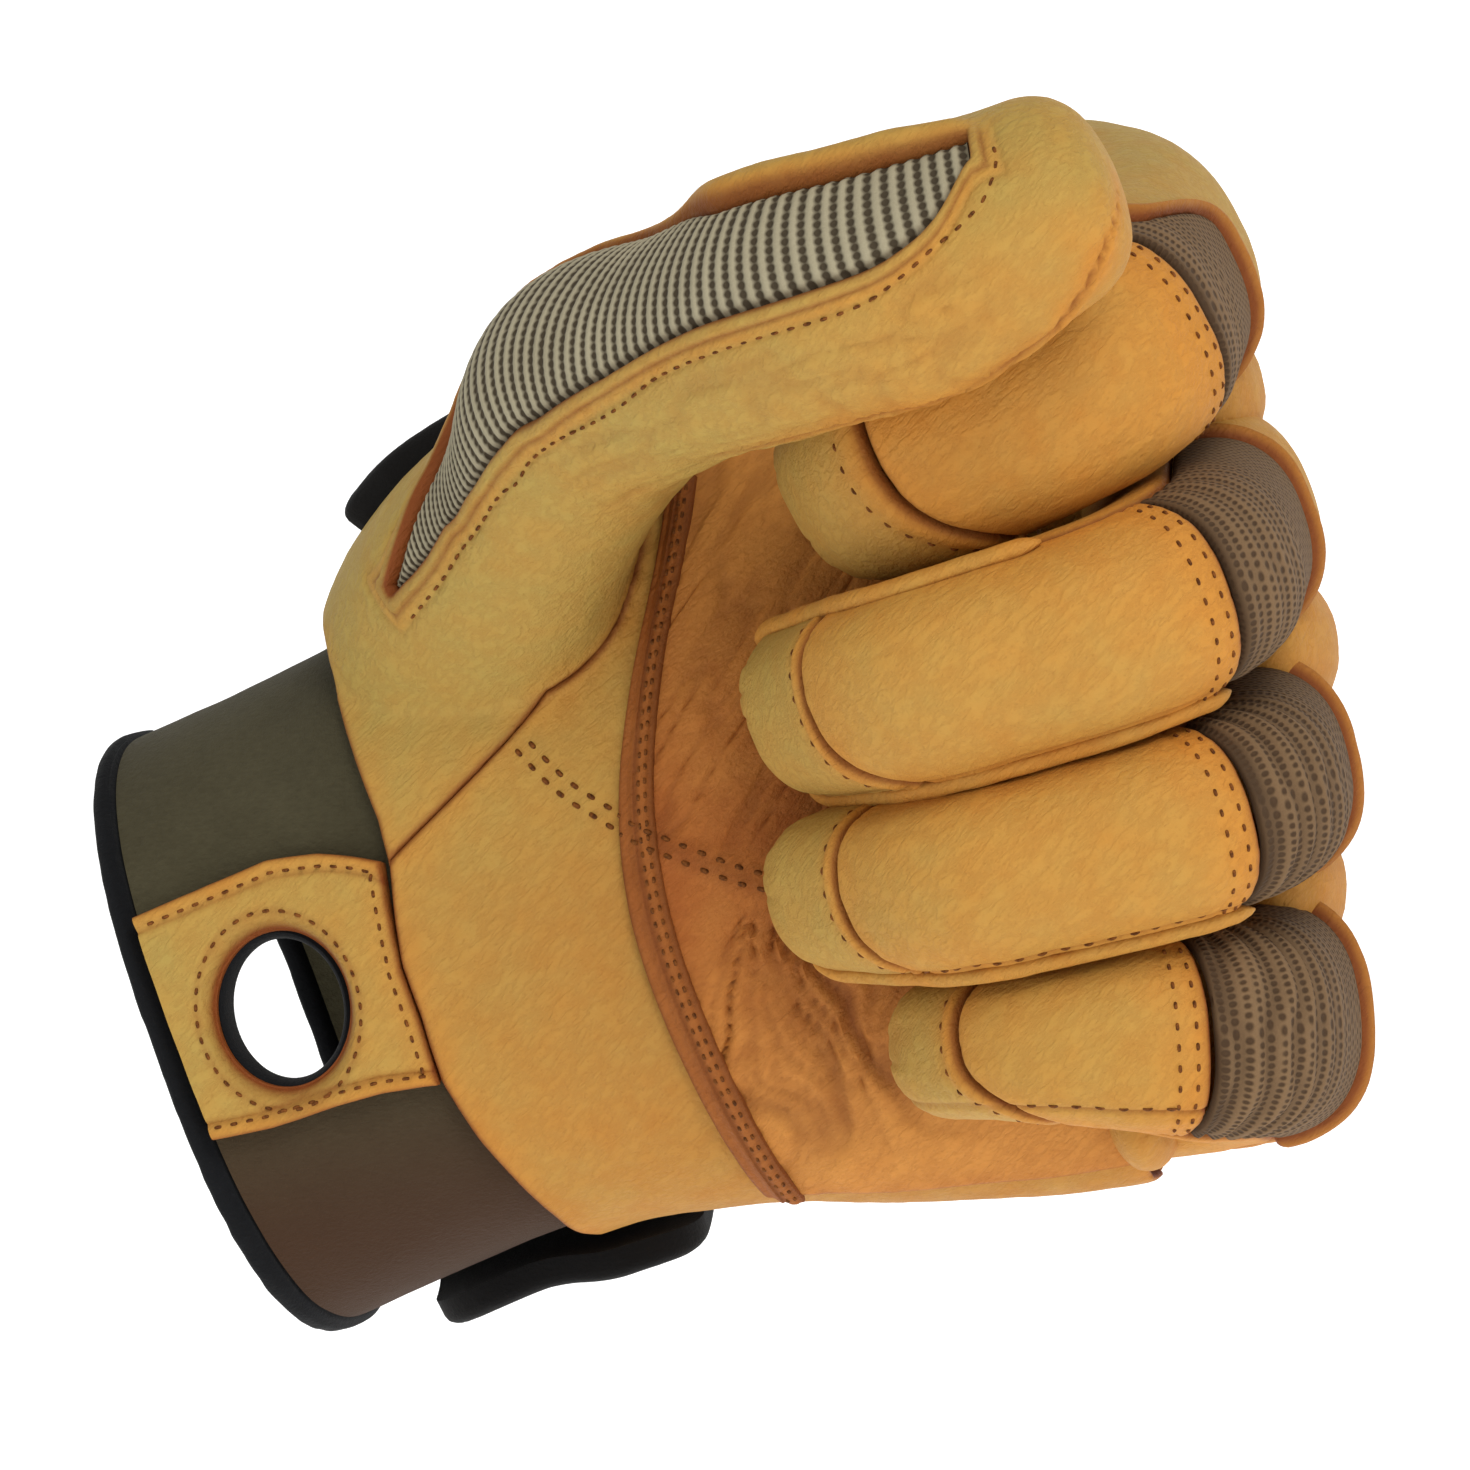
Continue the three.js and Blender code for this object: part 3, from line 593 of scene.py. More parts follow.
def nearest_on(tree, points):
    return laid([tree.find_nearest(Vector(point) * MM) for point in points])


def on_palm(trees, line):
    """A line of (x, z) places laid on the foremost of some pieces, seen from the palm's side."""
    found = []
    for x, z in line:
        start = Vector((x, -200, z)) * MM
        hits = [tree.ray_cast(start, Vector((0, 1, 0))) for tree in trees]
        hits = [hit for hit in hits if hit[0] is not None]
        found.append(min(hits, key=lambda hit: hit[0].y) if hits else (None, None))
    return laid(found)


def shifted(line, amount):
    """A line in the plane moved sideways, to its left for a positive amount."""
    along = unit(np.gradient(line, axis=0))
    return line + amount * np.stack([-along[:, 1], along[:, 0]], 1)


def welt(name, line, outward, wide, high, warm=0.4):
    """A rounded leather roll along a line of points, tapering at both ends."""
    sides = 14
    run = np.concatenate([[0], np.cumsum(np.linalg.norm(np.diff(line, axis=0), axis=1))])
    size = np.sqrt(np.clip(np.minimum(run, run[-1] - run) / (2 * wide), 0.03, 1))
    along = unit(np.gradient(line, axis=0))
    side = unit(np.cross(along, outward))
    up = np.cross(side, along)
    turns = np.linspace(0, 2 * math.pi, sides, endpoint=False)[:, None]
    around = side[:, None] * np.cos(turns) * wide + up[:, None] * np.sin(turns) * high
    points = (line[:, None] + around * size[:, None, None]).reshape(-1, 3)
    points = points + 0.07 * noise(points, 2.2, 19)[:, None] * np.repeat(up, sides, 0)
    low = np.tile(np.sin(turns[:, 0]) < -0.2, len(line))
    # Painted shade on the roll's underside.
    shades = dict(warm=warm + 0.2 * noise(points, 5, 23), dark=0.5 * low)
    piece = mesh_object(name, points, tube_faces(len(line), sides), LEATHER, shades)
    return finished(piece, "leather")


# Materials

def linear(code):
    """A colour written as six hexadecimal digits, as linear values."""
    parts = [int(code[i:i + 2], 16) / 255 for i in (0, 2, 4)]
    return tuple(p / 12.92 if p < 0.04045 else ((p + 0.055) / 1.055) ** 2.4 for p in parts) + (1.0,)


class Nodes:
    """A material's node tree, with short ways to add its nodes."""

    def __init__(self, name):
        self.material = bpy.data.materials.new(name)
        self.material.use_nodes = True
        self.tree = self.material.node_tree
        self.shader = self.tree.nodes["Principled BSDF"]
        self.place = self.add("ShaderNodeTexCoord").outputs["Object"]

    def add(self, kind, inputs=(), **settings):
        node = self.tree.nodes.new(kind)
        for key, value in settings.items():
            setattr(node, key, value)
        for key, value in dict(inputs).items():
            if isinstance(value, bpy.types.NodeSocket):
                self.tree.links.new(value, node.inputs[key])
            else:
                node.inputs[key].default_value = value
        return node

    def join(self, value, socket):
        self.tree.links.new(value, self.shader.inputs[socket])

    def stretched(self, scale):
        return self.add("ShaderNodeMapping", {"Vector": self.place, "Scale": scale}).outputs[0]

    def noise(self, size, detail=3.0, roughness=0.55, vector=None):
        """Noise with lumps of a size in millimetres."""
        inputs = {"Vector": vector or self.place, "Scale": 1 / (size * MM)}
        inputs.update({"Detail": detail, "Roughness": roughness})
        return self.add("ShaderNodeTexNoise", inputs).outputs["Fac"]

    def cells(self, size, feature="F1", vector=None, randomness=1.0):
        inputs = {"Vector": vector or self.place, "Scale": 1 / (size * MM), "Randomness": randomness}
        return self.add("ShaderNodeTexVoronoi", inputs, feature=feature).outputs["Distance"]

    def ramp(self, value, *stops):
        """A colour or grey for a value, between stops of (position, colour code or grey)."""
        node = self.add("ShaderNodeValToRGB", {"Fac": value})
        points = node.color_ramp.elements
        while len(points) < len(stops):
            points.new(0.5)
        for point, (position, shade) in zip(points, stops):
            point.position = position
            point.color = linear(shade) if isinstance(shade, str) else (shade, shade, shade, 1)
        return node.outputs["Color"]

    def mix(self, share, first, second, blend="MIX"):
        node = self.add("ShaderNodeMix", data_type="RGBA", blend_type=blend)
        for key, value in ((0, share), (6, first), (7, second)):
            if isinstance(value, bpy.types.NodeSocket):
                self.tree.links.new(value, node.inputs[key])
            else:
                node.inputs[key].default_value = linear(value) if isinstance(value, str) else value
        return node.outputs[2]

    def maths(self, operation, *values, clamp=False):
        node = self.add("ShaderNodeMath", operation=operation, use_clamp=clamp)
        for key, value in enumerate(values):
            if isinstance(value, bpy.types.NodeSocket):
                self.tree.links.new(value, node.inputs[key])
            else:
                node.inputs[key].default_value = value
        return node.outputs[0]

    def value(self, name):
        return self.add("ShaderNodeAttribute", attribute_name=name).outputs["Fac"]

    def bump(self, height, distance, strength=1.0, before=None):
        inputs = {"Height": height, "Distance": distance * MM, "Strength": strength}
        if before is not None:
            inputs["Normal"] = before
        return self.add("ShaderNodeBump", inputs).outputs["Normal"]


def leather_material(name, light, warm, deep):
    """Soft grained leather. The values warm and dark at the points shift it to its deeper colours; dark is
    mostly painted shade in seams, grooves and folds, and warm carries some painted shade where edges turn
    away.
    """
    n = Nodes(name)
    broad = n.noise(16, 3)
    mottle = n.noise(3.2, 4)
    warmth = n.maths("ADD", n.value("warm"), n.maths("MULTIPLY_ADD", broad, 0.7, -0.35))
    warmth = n.maths("ADD", warmth, n.maths("MULTIPLY_ADD", mottle, 0.5, -0.25), clamp=True)
    colour = n.mix(warmth, light, warm)
    darkness = n.maths("ADD", n.value("dark"), n.maths("MULTIPLY_ADD", mottle, 0.24, -0.12), clamp=True)
    colour = n.mix(darkness, colour, deep)
    pores = n.ramp(n.cells(0.55), (0.0, 0.0), (0.34, 1.0))
    colour = n.mix(n.maths("MULTIPLY_ADD", pores, -0.16, 0.16), colour, deep)
    slant = n.add("ShaderNodeMapping", {"Vector": n.place, "Rotation": (0, math.radians(38), 0)}).outputs[0]
    slant = n.add("ShaderNodeMapping", {"Vector": slant, "Scale": (0.3, 0.6, 1.0)}).outputs[0]
    streaks = n.ramp(n.noise(1.1, 4, 0.6, slant), (0.4, 0.0), (0.5, 1.0), (0.6, 0.0))
    colour = n.mix(n.maths("MULTIPLY", streaks, 0.12), colour, deep)
    n.join(colour, "Base Color")
    n.join(n.maths("MULTIPLY_ADD", mottle, 0.2, 0.58), "Roughness")
    grain = n.maths("ADD", n.maths("MULTIPLY", n.cells(0.8, "DISTANCE_TO_EDGE"), 0.7), n.noise(0.45, 3))
    first = n.bump(grain, 0.13, 0.65)
    n.join(n.bump(n.maths("SUBTRACT", 1.0, streaks), 0.15, 0.45, first), "Normal")
    n.shader.inputs["Specular IOR Level"].default_value = 0.22
    return n.material


def knit_material(name, yarn, gap, rib, hole, open_share=0.75, rough=0.85):
    """Knitted mesh: ribs across the value along, and holes between them along the value around."""
    n = Nodes(name)
    fibre = n.noise(0.22, 3)
    turns = n.maths("DIVIDE", n.value("along"), rib)
    ribs = n.maths("MULTIPLY_ADD", n.maths("COSINE", n.maths("MULTIPLY", turns, 2 * math.pi)), -0.5, 0.5)
    shift = n.maths("MULTIPLY", n.maths("ROUND", turns), 0.5)
    place = n.maths("ADD", n.maths("DIVIDE", n.value("around"), hole), shift)
    holes = n.maths("MULTIPLY_ADD", n.maths("COSINE", n.maths("MULTIPLY", place, 2 * math.pi)), 0.5, 0.5)
    opened = n.maths("MULTIPLY_ADD", holes, open_share, 1 - open_share)
    depth = n.maths("MULTIPLY", n.maths("SUBTRACT", 1.0, ribs), opened)
    tone = n.maths("MULTIPLY_ADD", n.noise(7, 3), 0.4, -0.1, clamp=True)
    shade = n.maths("ADD", n.ramp(depth, (0.2, 0.0), (0.75, 1.0)), tone)
    # The value dark adds painted shade at the panel's edges and in the rib valleys.
    shade = n.maths("ADD", shade, n.value("dark"), clamp=True)
    colour = n.mix(shade, yarn, gap)
    colour = n.mix(n.maths("MULTIPLY_ADD", fibre, 0.4, -0.1, clamp=True), colour, "ffffff", "SOFT_LIGHT")
    n.join(colour, "Base Color")
    n.join(n.maths("MULTIPLY_ADD", fibre, 0.15, rough - 0.08), "Roughness")
    first = n.bump(fibre, 0.1, 0.5)
    n.join(n.bump(n.maths("SUBTRACT", 1.0, depth), 0.25, 0.7, first), "Normal")
    n.shader.inputs["Specular IOR Level"].default_value = 0.2
    return n.material


def brushed_material(name, light, dark, nap=0.3, low="000000"):
    """Brushed stretch fabric: a short nap over a fine rib. The value low shifts it to another colour, which
    on the cuff is painted warm bounce light from the leather.
    """
    n = Nodes(name)
    broad = n.noise(9, 4)
    lint = n.noise(0.35, 4, 0.7)
    flecks = n.noise(0.9, 3, 0.6, n.stretched((1.0, 1.0, 2.6)))
    tone = n.maths("ADD", n.maths("MULTIPLY", broad, 0.5), n.maths("MULTIPLY", flecks, 0.5))
    colour = n.mix(n.maths("MULTIPLY_ADD", tone, 1.6, -0.3, clamp=True), dark, light)
    colour = n.mix(n.maths("MULTIPLY_ADD", lint, 0.5, -0.14, clamp=True), colour, light)
    colour = n.mix(n.value("low"), colour, low)
    n.join(colour, "Base Color")
    n.join(n.maths("MULTIPLY_ADD", lint, 0.12, 0.84), "Roughness")
    n.join(n.bump(n.maths("ADD", lint, n.maths("MULTIPLY", flecks, 0.7)), nap, 0.6), "Normal")
    n.shader.inputs["Specular IOR Level"].default_value = 0.12
    n.shader.inputs["Sheen Weight"].default_value = 0.06
    n.shader.inputs["Sheen Roughness"].default_value = 0.6
    return n.material


def thread_material(name, light, dark):
    n = Nodes(name)
    twist = n.noise(0.4, 2)
    n.join(n.mix(n.ramp(twist, (0.35, 0.0), (0.65, 1.0)), dark, light), "Base Color")
    n.join(n.maths("MULTIPLY_ADD", twist, 0.2, 0.5), "Roughness")
    n.join(n.bump(twist, 0.08, 0.6), "Normal")
    n.shader.inputs["Specular IOR Level"].default_value = 0.12
    return n.material


LEATHER = leather_material("tan_leather", "ad924a", "c68736", "7f4218")
PATCH_LEATHER = leather_material("patch_leather", "cb8b40", "a35c25", "6c3512")
STRIP_LEATHER = leather_material("strip_leather", "9a5a24", "8b4b1a", "5f2e10")
THUMB_KNIT = knit_material("thumb_mesh_knit", "a69d83", "41382a", THUMB_RIB, 0.95, 0.36)
FINGER_KNIT = knit_material("finger_knit", "765d42", "463423", 0.7, 0.75)
BACK_KNIT = knit_material("back_knit", "7b5f42", "432f1e", 1.6, 0.95)
# The cuff's last colour is its painted warm bounce light from the leather, used low down.
CUFF_FABRIC = brushed_material("cuff_brushed", "4f4a36", "35301f", 0.3, "40291a")
BLACK_KNIT = brushed_material("black_knit", "101216", "060709", 0.2)
BLACK_STRAP = brushed_material("black_strap", "0e0d0d", "060505", 0.15)
THREAD = thread_material("rust_thread", "7f4b1f", "4e2b10")


# Camera and studio

CAMERA_PLACE = (0.2454, -0.8986, 0.0209)
CAMERA_TURN, CAMERA_ROLL = 12.0, 9.4


def make_camera():
    turn, roll = math.radians(CAMERA_TURN), math.radians(CAMERA_ROLL)
    ahead = Vector((-math.sin(turn), math.cos(turn), 0))
    level, up = Vector((math.cos(turn), math.sin(turn), 0)), Vector((0, 0, 1))
    right = level * math.cos(roll) - up * math.sin(roll)
    upward = level * math.sin(roll) + up * math.cos(roll)
    turned = Matrix((right, upward, -ahead)).transposed().to_4x4()
    data = bpy.data.cameras.new("camera")
    data.lens, data.sensor_width = 232.0, 36.0
    data.clip_end = 20
    camera = bpy.data.objects.new("camera", data)
    bpy.context.scene.collection.objects.link(camera)
    camera.matrix_world = Matrix.Translation(CAMERA_PLACE) @ turned
    bpy.context.scene.camera = camera


def area_light(name, place, aim, size, power, colour=(1, 1, 1)):
    data = bpy.data.lights.new(name, "AREA")
    data.shape, data.size, data.energy = "SQUARE", size, power
    data.color = colour
    lamp = bpy.data.objects.new(name, data)
    bpy.context.scene.collection.objects.link(lamp)
    lamp.location = place
    lamp.rotation_euler = (Vector(aim) - Vector(place)).to_track_quat("-Z", "Y").to_euler()


def make_studio():
    bpy.context.scene.view_settings.view_transform = "Standard"
    world = bpy.data.worlds.new("studio")
    bpy.context.scene.world = world
    world.use_nodes = True
    world.node_tree.nodes["Background"].inputs["Color"].default_value = (1, 1, 1, 1)
    world.node_tree.nodes["Background"].inputs["Strength"].default_value = 0.42
    middle = (0.06, 0, 0.02)
    area_light("key", (0.6, -0.8, 0.75), middle, 0.6, 7.6, (1.0, 0.96, 0.9))
    area_light("fill", (-0.7, -0.6, 0.3), middle, 0.8, 0.7, (0.95, 1.0, 0.93))
    n = Nodes("pale_floor")
    n.join(n.ramp(n.noise(300, 2), (0.3, "fafafa"), (0.7, "ffffff")), "Base Color")
    n.shader.inputs["Roughness"].default_value = 0.9
    n.shader.inputs["Emission Color"].default_value = (1, 1, 1, 1)
    n.shader.inputs["Emission Strength"].default_value = 0.55
    bend, depth, side, steps = 0.5, 1.6, 3.0, 24
    profile = [(-depth, 0.0)]
    for a in np.linspace(0, math.pi / 2, steps):
        profile.append((depth + bend * math.sin(a), bend * (1 - math.cos(a))))
    profile.append((depth + bend, 2.5))
    floor_z = -0.11
    points = [(x * 1000, y * 1000, (z + floor_z) * 1000) for y, z in profile for x in (-side, side)]
    faces = [(2 * i, 2 * i + 1, 2 * i + 3, 2 * i + 2) for i in range(len(profile) - 1)]
    floor = mesh_object("floor", points, faces, n.material)


# Hand and thumb as one smooth skin, later cut along its seams

def closed_tube(surface, stations, count, offset):
    shape = (len(stations), count)
    angles = np.broadcast_to(np.linspace(0, 360, count, endpoint=False), shape)
    grid = surface(angles, np.broadcast_to(stations[:, None], shape), np.full(shape, offset))
    points = grid.reshape(-1, 3)
    ends = [grid[0].mean(0), grid[-1].mean(0)]
    faces = []
    for j in range(len(stations) - 1):
        for i in range(count):
            k = (i + 1) % count
            faces.append((j * count + i, j * count + k, (j + 1) * count + k, (j + 1) * count + i))
    last = (len(stations) - 1) * count
    for i in range(count):
        k = (i + 1) % count
        faces.append((k, i, len(points)))
        faces.append((last + i, last + k, len(points) + 1))
    return np.concatenate([points, ends]), faces


def union_skin(hand_surface=hand_point, first_station=0.7, offset=0.0, thumb_offset=0.0,
               voxel=0.75, rounds=6):
    """Hand and thumb joined into one skin, with softened creases between them."""
    hand, hand_faces = closed_tube(hand_surface, np.linspace(first_station, 5, 60), 180, offset)
    stations = np.concatenate([np.linspace(0, THUMB_END - THUMB_TIP_ROUND, 90),
                               THUMB_END - THUMB_TIP_ROUND * (1 - np.sin(np.linspace(0.1, math.pi / 2, 14)))])
    thumb, thumb_faces = closed_tube(thumb_point, stations, 90, thumb_offset)
    faces = hand_faces + [tuple(i + len(hand) for i in f) for f in thumb_faces]
    made = mesh_object("skin", np.concatenate([hand, thumb]), faces, LEATHER)
    remesh = made.modifiers.new("remesh", "REMESH")
    remesh.mode, remesh.voxel_size = "VOXEL", voxel * MM
    relax = made.modifiers.new("relax", "SMOOTH")
    relax.factor, relax.iterations = 0.5, rounds
    mesh = bpy.data.meshes.new_from_object(made.evaluated_get(bpy.context.evaluated_depsgraph_get()))
    mesh.calc_loop_triangles()
    points = np.zeros(len(mesh.vertices) * 3)
    mesh.vertices.foreach_get("co", points)
    outward = np.zeros(len(mesh.vertices) * 3)
    mesh.vertices.foreach_get("normal", outward)
    triangles = np.zeros(len(mesh.loop_triangles) * 3, int)
    mesh.loop_triangles.foreach_get("vertices", triangles)
    bpy.data.objects.remove(made)
    return Sheet(points.reshape(-1, 3) / MM, outward.reshape(-1, 3), triangles.reshape(-1, 3), {})


# Distances inside a panel's edge, and outside the thumb mesh's edge, where the triangles are cut
EDGE_ROWS = (0.0, 0.14, 0.32, 0.58, 0.95, 1.45)
INSERT_ROWS = (-1.15, -1.35, -1.6, -1.85, -2.1, -2.8, -3.0, -3.2)


def rolled(distance, radius=1.1):
    """How far a panel's face dips where it turns in at its edge."""
    left = np.clip(distance / radius, 0, 1)
    return radius * 0.85 * (np.sqrt(np.clip(1 - (1 - left) ** 2, 0, 1)) - 1)


def evened(values, width):
    """Values in a row with their corners taken off over a width of places."""
    kernel = np.hanning(width)
    padded = np.pad(values, width // 2, mode="edge")
    return np.convolve(padded, kernel / kernel.sum(), "valid")[:len(values)]


INSERT_AT = np.linspace(INSERT["at"][0], INSERT["at"][-1], 400)
INSERT_LOW = evened(np.interp(INSERT_AT, INSERT["at"], INSERT["low"]), 27)
INSERT_HIGH = evened(np.interp(INSERT_AT, INSERT["at"], INSERT["high"]), 27)


def insert_distance(station, angle, radius=11.0):
    low = np.interp(station, INSERT_AT, INSERT_LOW)
    high = np.interp(station, INSERT_AT, INSERT_HIGH)
    from_edges = np.minimum(angle - low, high - angle) * math.pi / 180 * radius
    from_ends = np.minimum(station - INSERT["at"][0], INSERT["at"][-1] - station) * 12.0
    return np.minimum(from_edges, from_ends)


def with_seam_values(skin):
    """The skin with its distances to the seams as named values."""
    p = skin.points
    plane = p[:, [0, 2]]
    lean = math.radians(HAND["lean"][1])
    across = np.array([-math.sin(lean), 0, math.cos(lean)])
    through = np.array([HAND["tilt"][1], 1, 0])
    normal = unit(np.cross(through, across))
    wrist = (p - np.array([HAND["x"][1], 0, HAND["z"][1]])) @ normal
    wrist = wrist - np.interp(p[:, 2], WRIST_EDGE["z"], WRIST_EDGE["shift"]) * (1 - eased(p[:, 1], -10, -2))
    station, angle, radius = thumb_place(p)
    tube = (1.03 - radius) * THUMB_RADIUS
    side = SIDE_SEAM_Y - p[:, 1]
    skin.values.update(
        wrist=wrist, side=side, station=station, angle=angle,
        thumb=np.maximum(tube, np.minimum(side, beside(plane, curve_through(THENAR_SEAM)))),
        insert=insert_distance(station, angle) - np.where(tube > -1.5, 0, 50),
        knuckle=np.where(p[:, 1] < -30, 50, HAND["x"][5] - 0.1 - p[:, 0]),
        band=p[:, 0] - smooth(HAND["x"], np.array([BAND_STATION]))[0])
    return skin


def leather_relief(points, amount=0.12):
    """Soft unevenness of worn leather, in millimetres."""
    return amount * (noise(points, 9, 3) + 0.5 * noise(points, 3.5, 4) + 0.25 * noise(points, 1.6, 5))


def cut_rows(sheet, name):
    """The sheet cut along a value's zero and along the edge rows above it."""
    return sheet.split_rows(name, EDGE_ROWS)


def build_skin_panels():
    skin = with_seam_values(union_skin())
    for name in ("wrist", "knuckle"):
        skin = skin.split(name)
        skin = skin.kept(skin.values[name])
    skin = skin.split("thumb")
    thumb, rest = skin.kept(skin.values["thumb"]), skin.kept(-skin.values["thumb"])
    rest = rest.split("side")
    palm, back = rest.kept(rest.values["side"]), rest.kept(-rest.values["side"])
    back = back.split("band")
    band, back = back.kept(back.values["band"]), back.kept(-back.values["band"])
    thumb = thumb.split("insert")
    thumb = thumb.kept(-thumb.values["insert"]).split_rows("insert", INSERT_ROWS)
    return [edge_rows(sheet) for sheet in (thumb, palm, back, band)]


def tint(points):
    """A shift from greenish tan at the thumb to orange tan at the little finger."""
    return 0.55 * eased(0.6 * points[:, 0] - 0.8 * points[:, 2], -35, 55)


def seam_shades(sheet, warm=0.0, seam=0.9, wide=0.45):
    """Colour values near a panel's edge: deeper colour and a dark line in the fold, painted shade where the
    leather turns in at the seam.
    """
    distance = sheet.values["edge"]
    warmth = warm + tint(sheet.points) + 0.3 * bump_at(distance, 2.2)
    return dict(warm=warmth, dark=seam * bump_at(distance, wide))


# Where the seam round the thumb's tip lies: the station for each angle from the low side upwards
TIP_LINE = columns("angle station", [
    (-37, 7.9), (-26, 8.11), (-16, 8.28), (-7, 8.44), (0, 8.61), (4, 8.79), (12, 9.2),
])


def thumb_edge_line(station, angle):
    """Distance inside the thumb's front panel from the seam line along its low side and round its tip."""
    turned = np.where(angle > 180, angle - 360, angle)
    limit = np.interp(turned, TIP_LINE["angle"], TIP_LINE["station"])
    return np.minimum((turned + 37) * 0.19, (limit - station) * 9.0), turned


def make_thumb(sheet):
    v = sheet.values
    gap = -v["insert"]
    upper = eased(v["angle"], 90, 106)
    lower = 1 - upper
    flange = 0.5 * eased(gap, 0, 0.4) * (1 - eased(gap, 1.15, 1.6)) * lower
    groove = -0.2 * bump_at(gap - 3.0, 0.25) * lower
    far_high = 0.7 + 1.3 * eased(v["station"], 4.95, 5.8) - 0.9 * eased(v["station"], 7.2, 7.9)
    roll = far_high * np.sqrt(np.clip(1 - ((gap - 1.5) / 1.5) ** 2, 0, 1)) * upper
    roll = roll * (1 - eased(v["station"], 7.75, 8.05))
    line, turned = thumb_edge_line(v["station"], v["angle"])
    near_line = eased(v["station"], 4.9, 5.6) * eased(turned, -80, -60) * (1 - eased(turned, 70, 90))
    seam = -0.4 * bump_at(line, 0.3) * near_line + 0.2 * bump_at(line + 0.8, 0.4) * near_line
    around = np.radians(turned) * THUMB_RADIUS
    folds = ridges(np.stack([v["station"] * 2.4, around / 1.6, 0 * around], 1), 1.0, 15)
    folded = eased(v["station"], 3.6, 4.6) * (1 - eased(v["station"], 7.2, 8.2)) * eased(gap, 3, 5)
    relief = rolled(v["edge"], 0.6) + leather_relief(sheet.points, 0.14) + flange + groove + roll + seam
    fullness = 3.2 * bump_at(v["station"] - 7.12, 0.9) * bump_at(turned + 38, 34)
    relief = relief + 0.32 * folds * folded + fullness
    shades = seam_shades(sheet, -0.05)
    tongue = 1 - eased(v["station"], 2.8, 3.8)
    # Painted shade: beside the mesh at the tongue, in the step past the flange, in the groove, along the
    # tip's seam line and in the valleys of the folds.
    shades["dark"] += 0.5 * tongue * bump_at(gap, 0.9) + 0.6 * bump_at(gap - 1.6, 0.28) * lower
    shades["dark"] += 0.1 * bump_at(gap - 3.0, 0.3) * lower
    shades["dark"] += 0.75 * bump_at(line, 0.35) * near_line - 0.2 * folds * folded
    shades["warm"] += 0.35 * bump_at(gap - 2.3, 0.6) * lower - 0.3 * bump_at(gap, 1.0) * lower
    # Deeper orange beside the mesh's upper side and along the tip's seam line is painted shade where the
    # leather turns away.
    shades["warm"] += 0.5 * bump_at(gap, 0.9) * upper + 0.4 * bump_at(line, 2.0) * near_line
    shades["warm"] += 0.3 * eased(v["station"], 5.2, 7) * (1 - eased(turned, 10, 55))
    piece = shell_object("thumb_leather", sheet, relief, LEATHER_WALL, LEATHER, shades)
    return finished(piece, "leather", "thumb")


def make_palm(sheet):
    relief = rolled(sheet.values["edge"], 0.6) + leather_relief(sheet.points, 0.14)
    shades = seam_shades(sheet, 0.12)
    x, z = sheet.points[:, 0], sheet.points[:, 2]
    # Painted shade on the palm, which lies deeper than the fingers: darker towards the knuckles, fading out
    # towards the thumb side.
    shades["dark"] += (0.1 + 0.12 * eased(x, 20, 50)) * (1 - eased(z, 6, 20))
    piece = shell_object("palm_leather", sheet, relief, LEATHER_WALL, LEATHER, shades)
    return finished(piece, "leather", "palm")


def make_back(sheet):
    p = sheet.points
    relief = rolled(sheet.values["edge"], 0.8) + 0.15 * noise(p, 8, 6)
    # Painted shade where the knit turns in at its edges.
    shades = dict(along=p[:, 2], around=p[:, 0], dark=0.4 * bump_at(sheet.values["edge"], 0.6))
    piece = shell_object("hand_back_knit", sheet, relief, FABRIC_WALL, BACK_KNIT, shades)
    return finished(piece, "stretch_mesh", "hand_back")


def make_band(sheet):
    relief = rolled(sheet.values["edge"], 0.9) + leather_relief(sheet.points)
    shades = seam_shades(sheet, 0.2)
    piece = shell_object("knuckle_band_leather", sheet, relief, LEATHER_WALL, LEATHER, shades)
    return finished(piece, "leather", "knuckle_band")


# Panels over a grid: rows of stations, columns of angles, closer together at the edges

def spaced(length, step):
    """Places from 0 to length, close together at both ends."""
    rows = np.array(EDGE_ROWS)
    inside = np.arange(rows[-1] + step, length - rows[-1] - step / 2, step)
    return np.concatenate([rows, inside, (length - rows)[::-1]])


def make_insert():
    """The ribbed mesh let into the thumb, sunk a little below the leather."""
    start, stop = INSERT["at"][0] + 0.02, INSERT["at"][-1] - 0.02
    count = 72
    rows = np.linspace(start, stop, 250)
    share = np.linspace(0, 1, count)
    low, high = np.interp(rows, INSERT_AT, INSERT_LOW), np.interp(rows, INSERT_AT, INSERT_HIGH)
    angles = low[:, None] + (high - low)[:, None] * share[None, :]
    stations = rows[:, None].repeat(count, 1)
    sheet = grid_sheet(thumb_point, angles, stations)
    path = thumb_path(rows)
    run = np.concatenate([[0], np.cumsum(np.linalg.norm(np.diff(path, axis=0), axis=1))])
    finer = 1 + 0.75 * (1 - eased(rows, 2.5, 3.8))
    run = np.concatenate([[0], np.cumsum(np.diff(run) * finer[1:])])
    along = run[:, None].repeat(count, 1).ravel()
    around = np.radians(sheet.values["angle"]) * THUMB_RADIUS
    ribs = 0.5 - 0.5 * np.cos(along * 2 * math.pi / THUMB_RIB)
    edge = insert_distance(sheet.values["station"], sheet.values["angle"])
    relief = -0.4 + 0.22 * ribs - 0.5 * bump_at(edge, 0.6)
    # Painted shade where the mesh sinks under the leather's edge.
    shades = dict(along=along, around=around, dark=0.5 * bump_at(edge, 0.5))
    piece = shell_object("thumb_insert_knit", sheet, relief, FABRIC_WALL, THUMB_KNIT, shades)
    return finished(piece, "stretch_mesh", "thumb_insert")


# The cuff, its binding, the tab and the clip hole through both

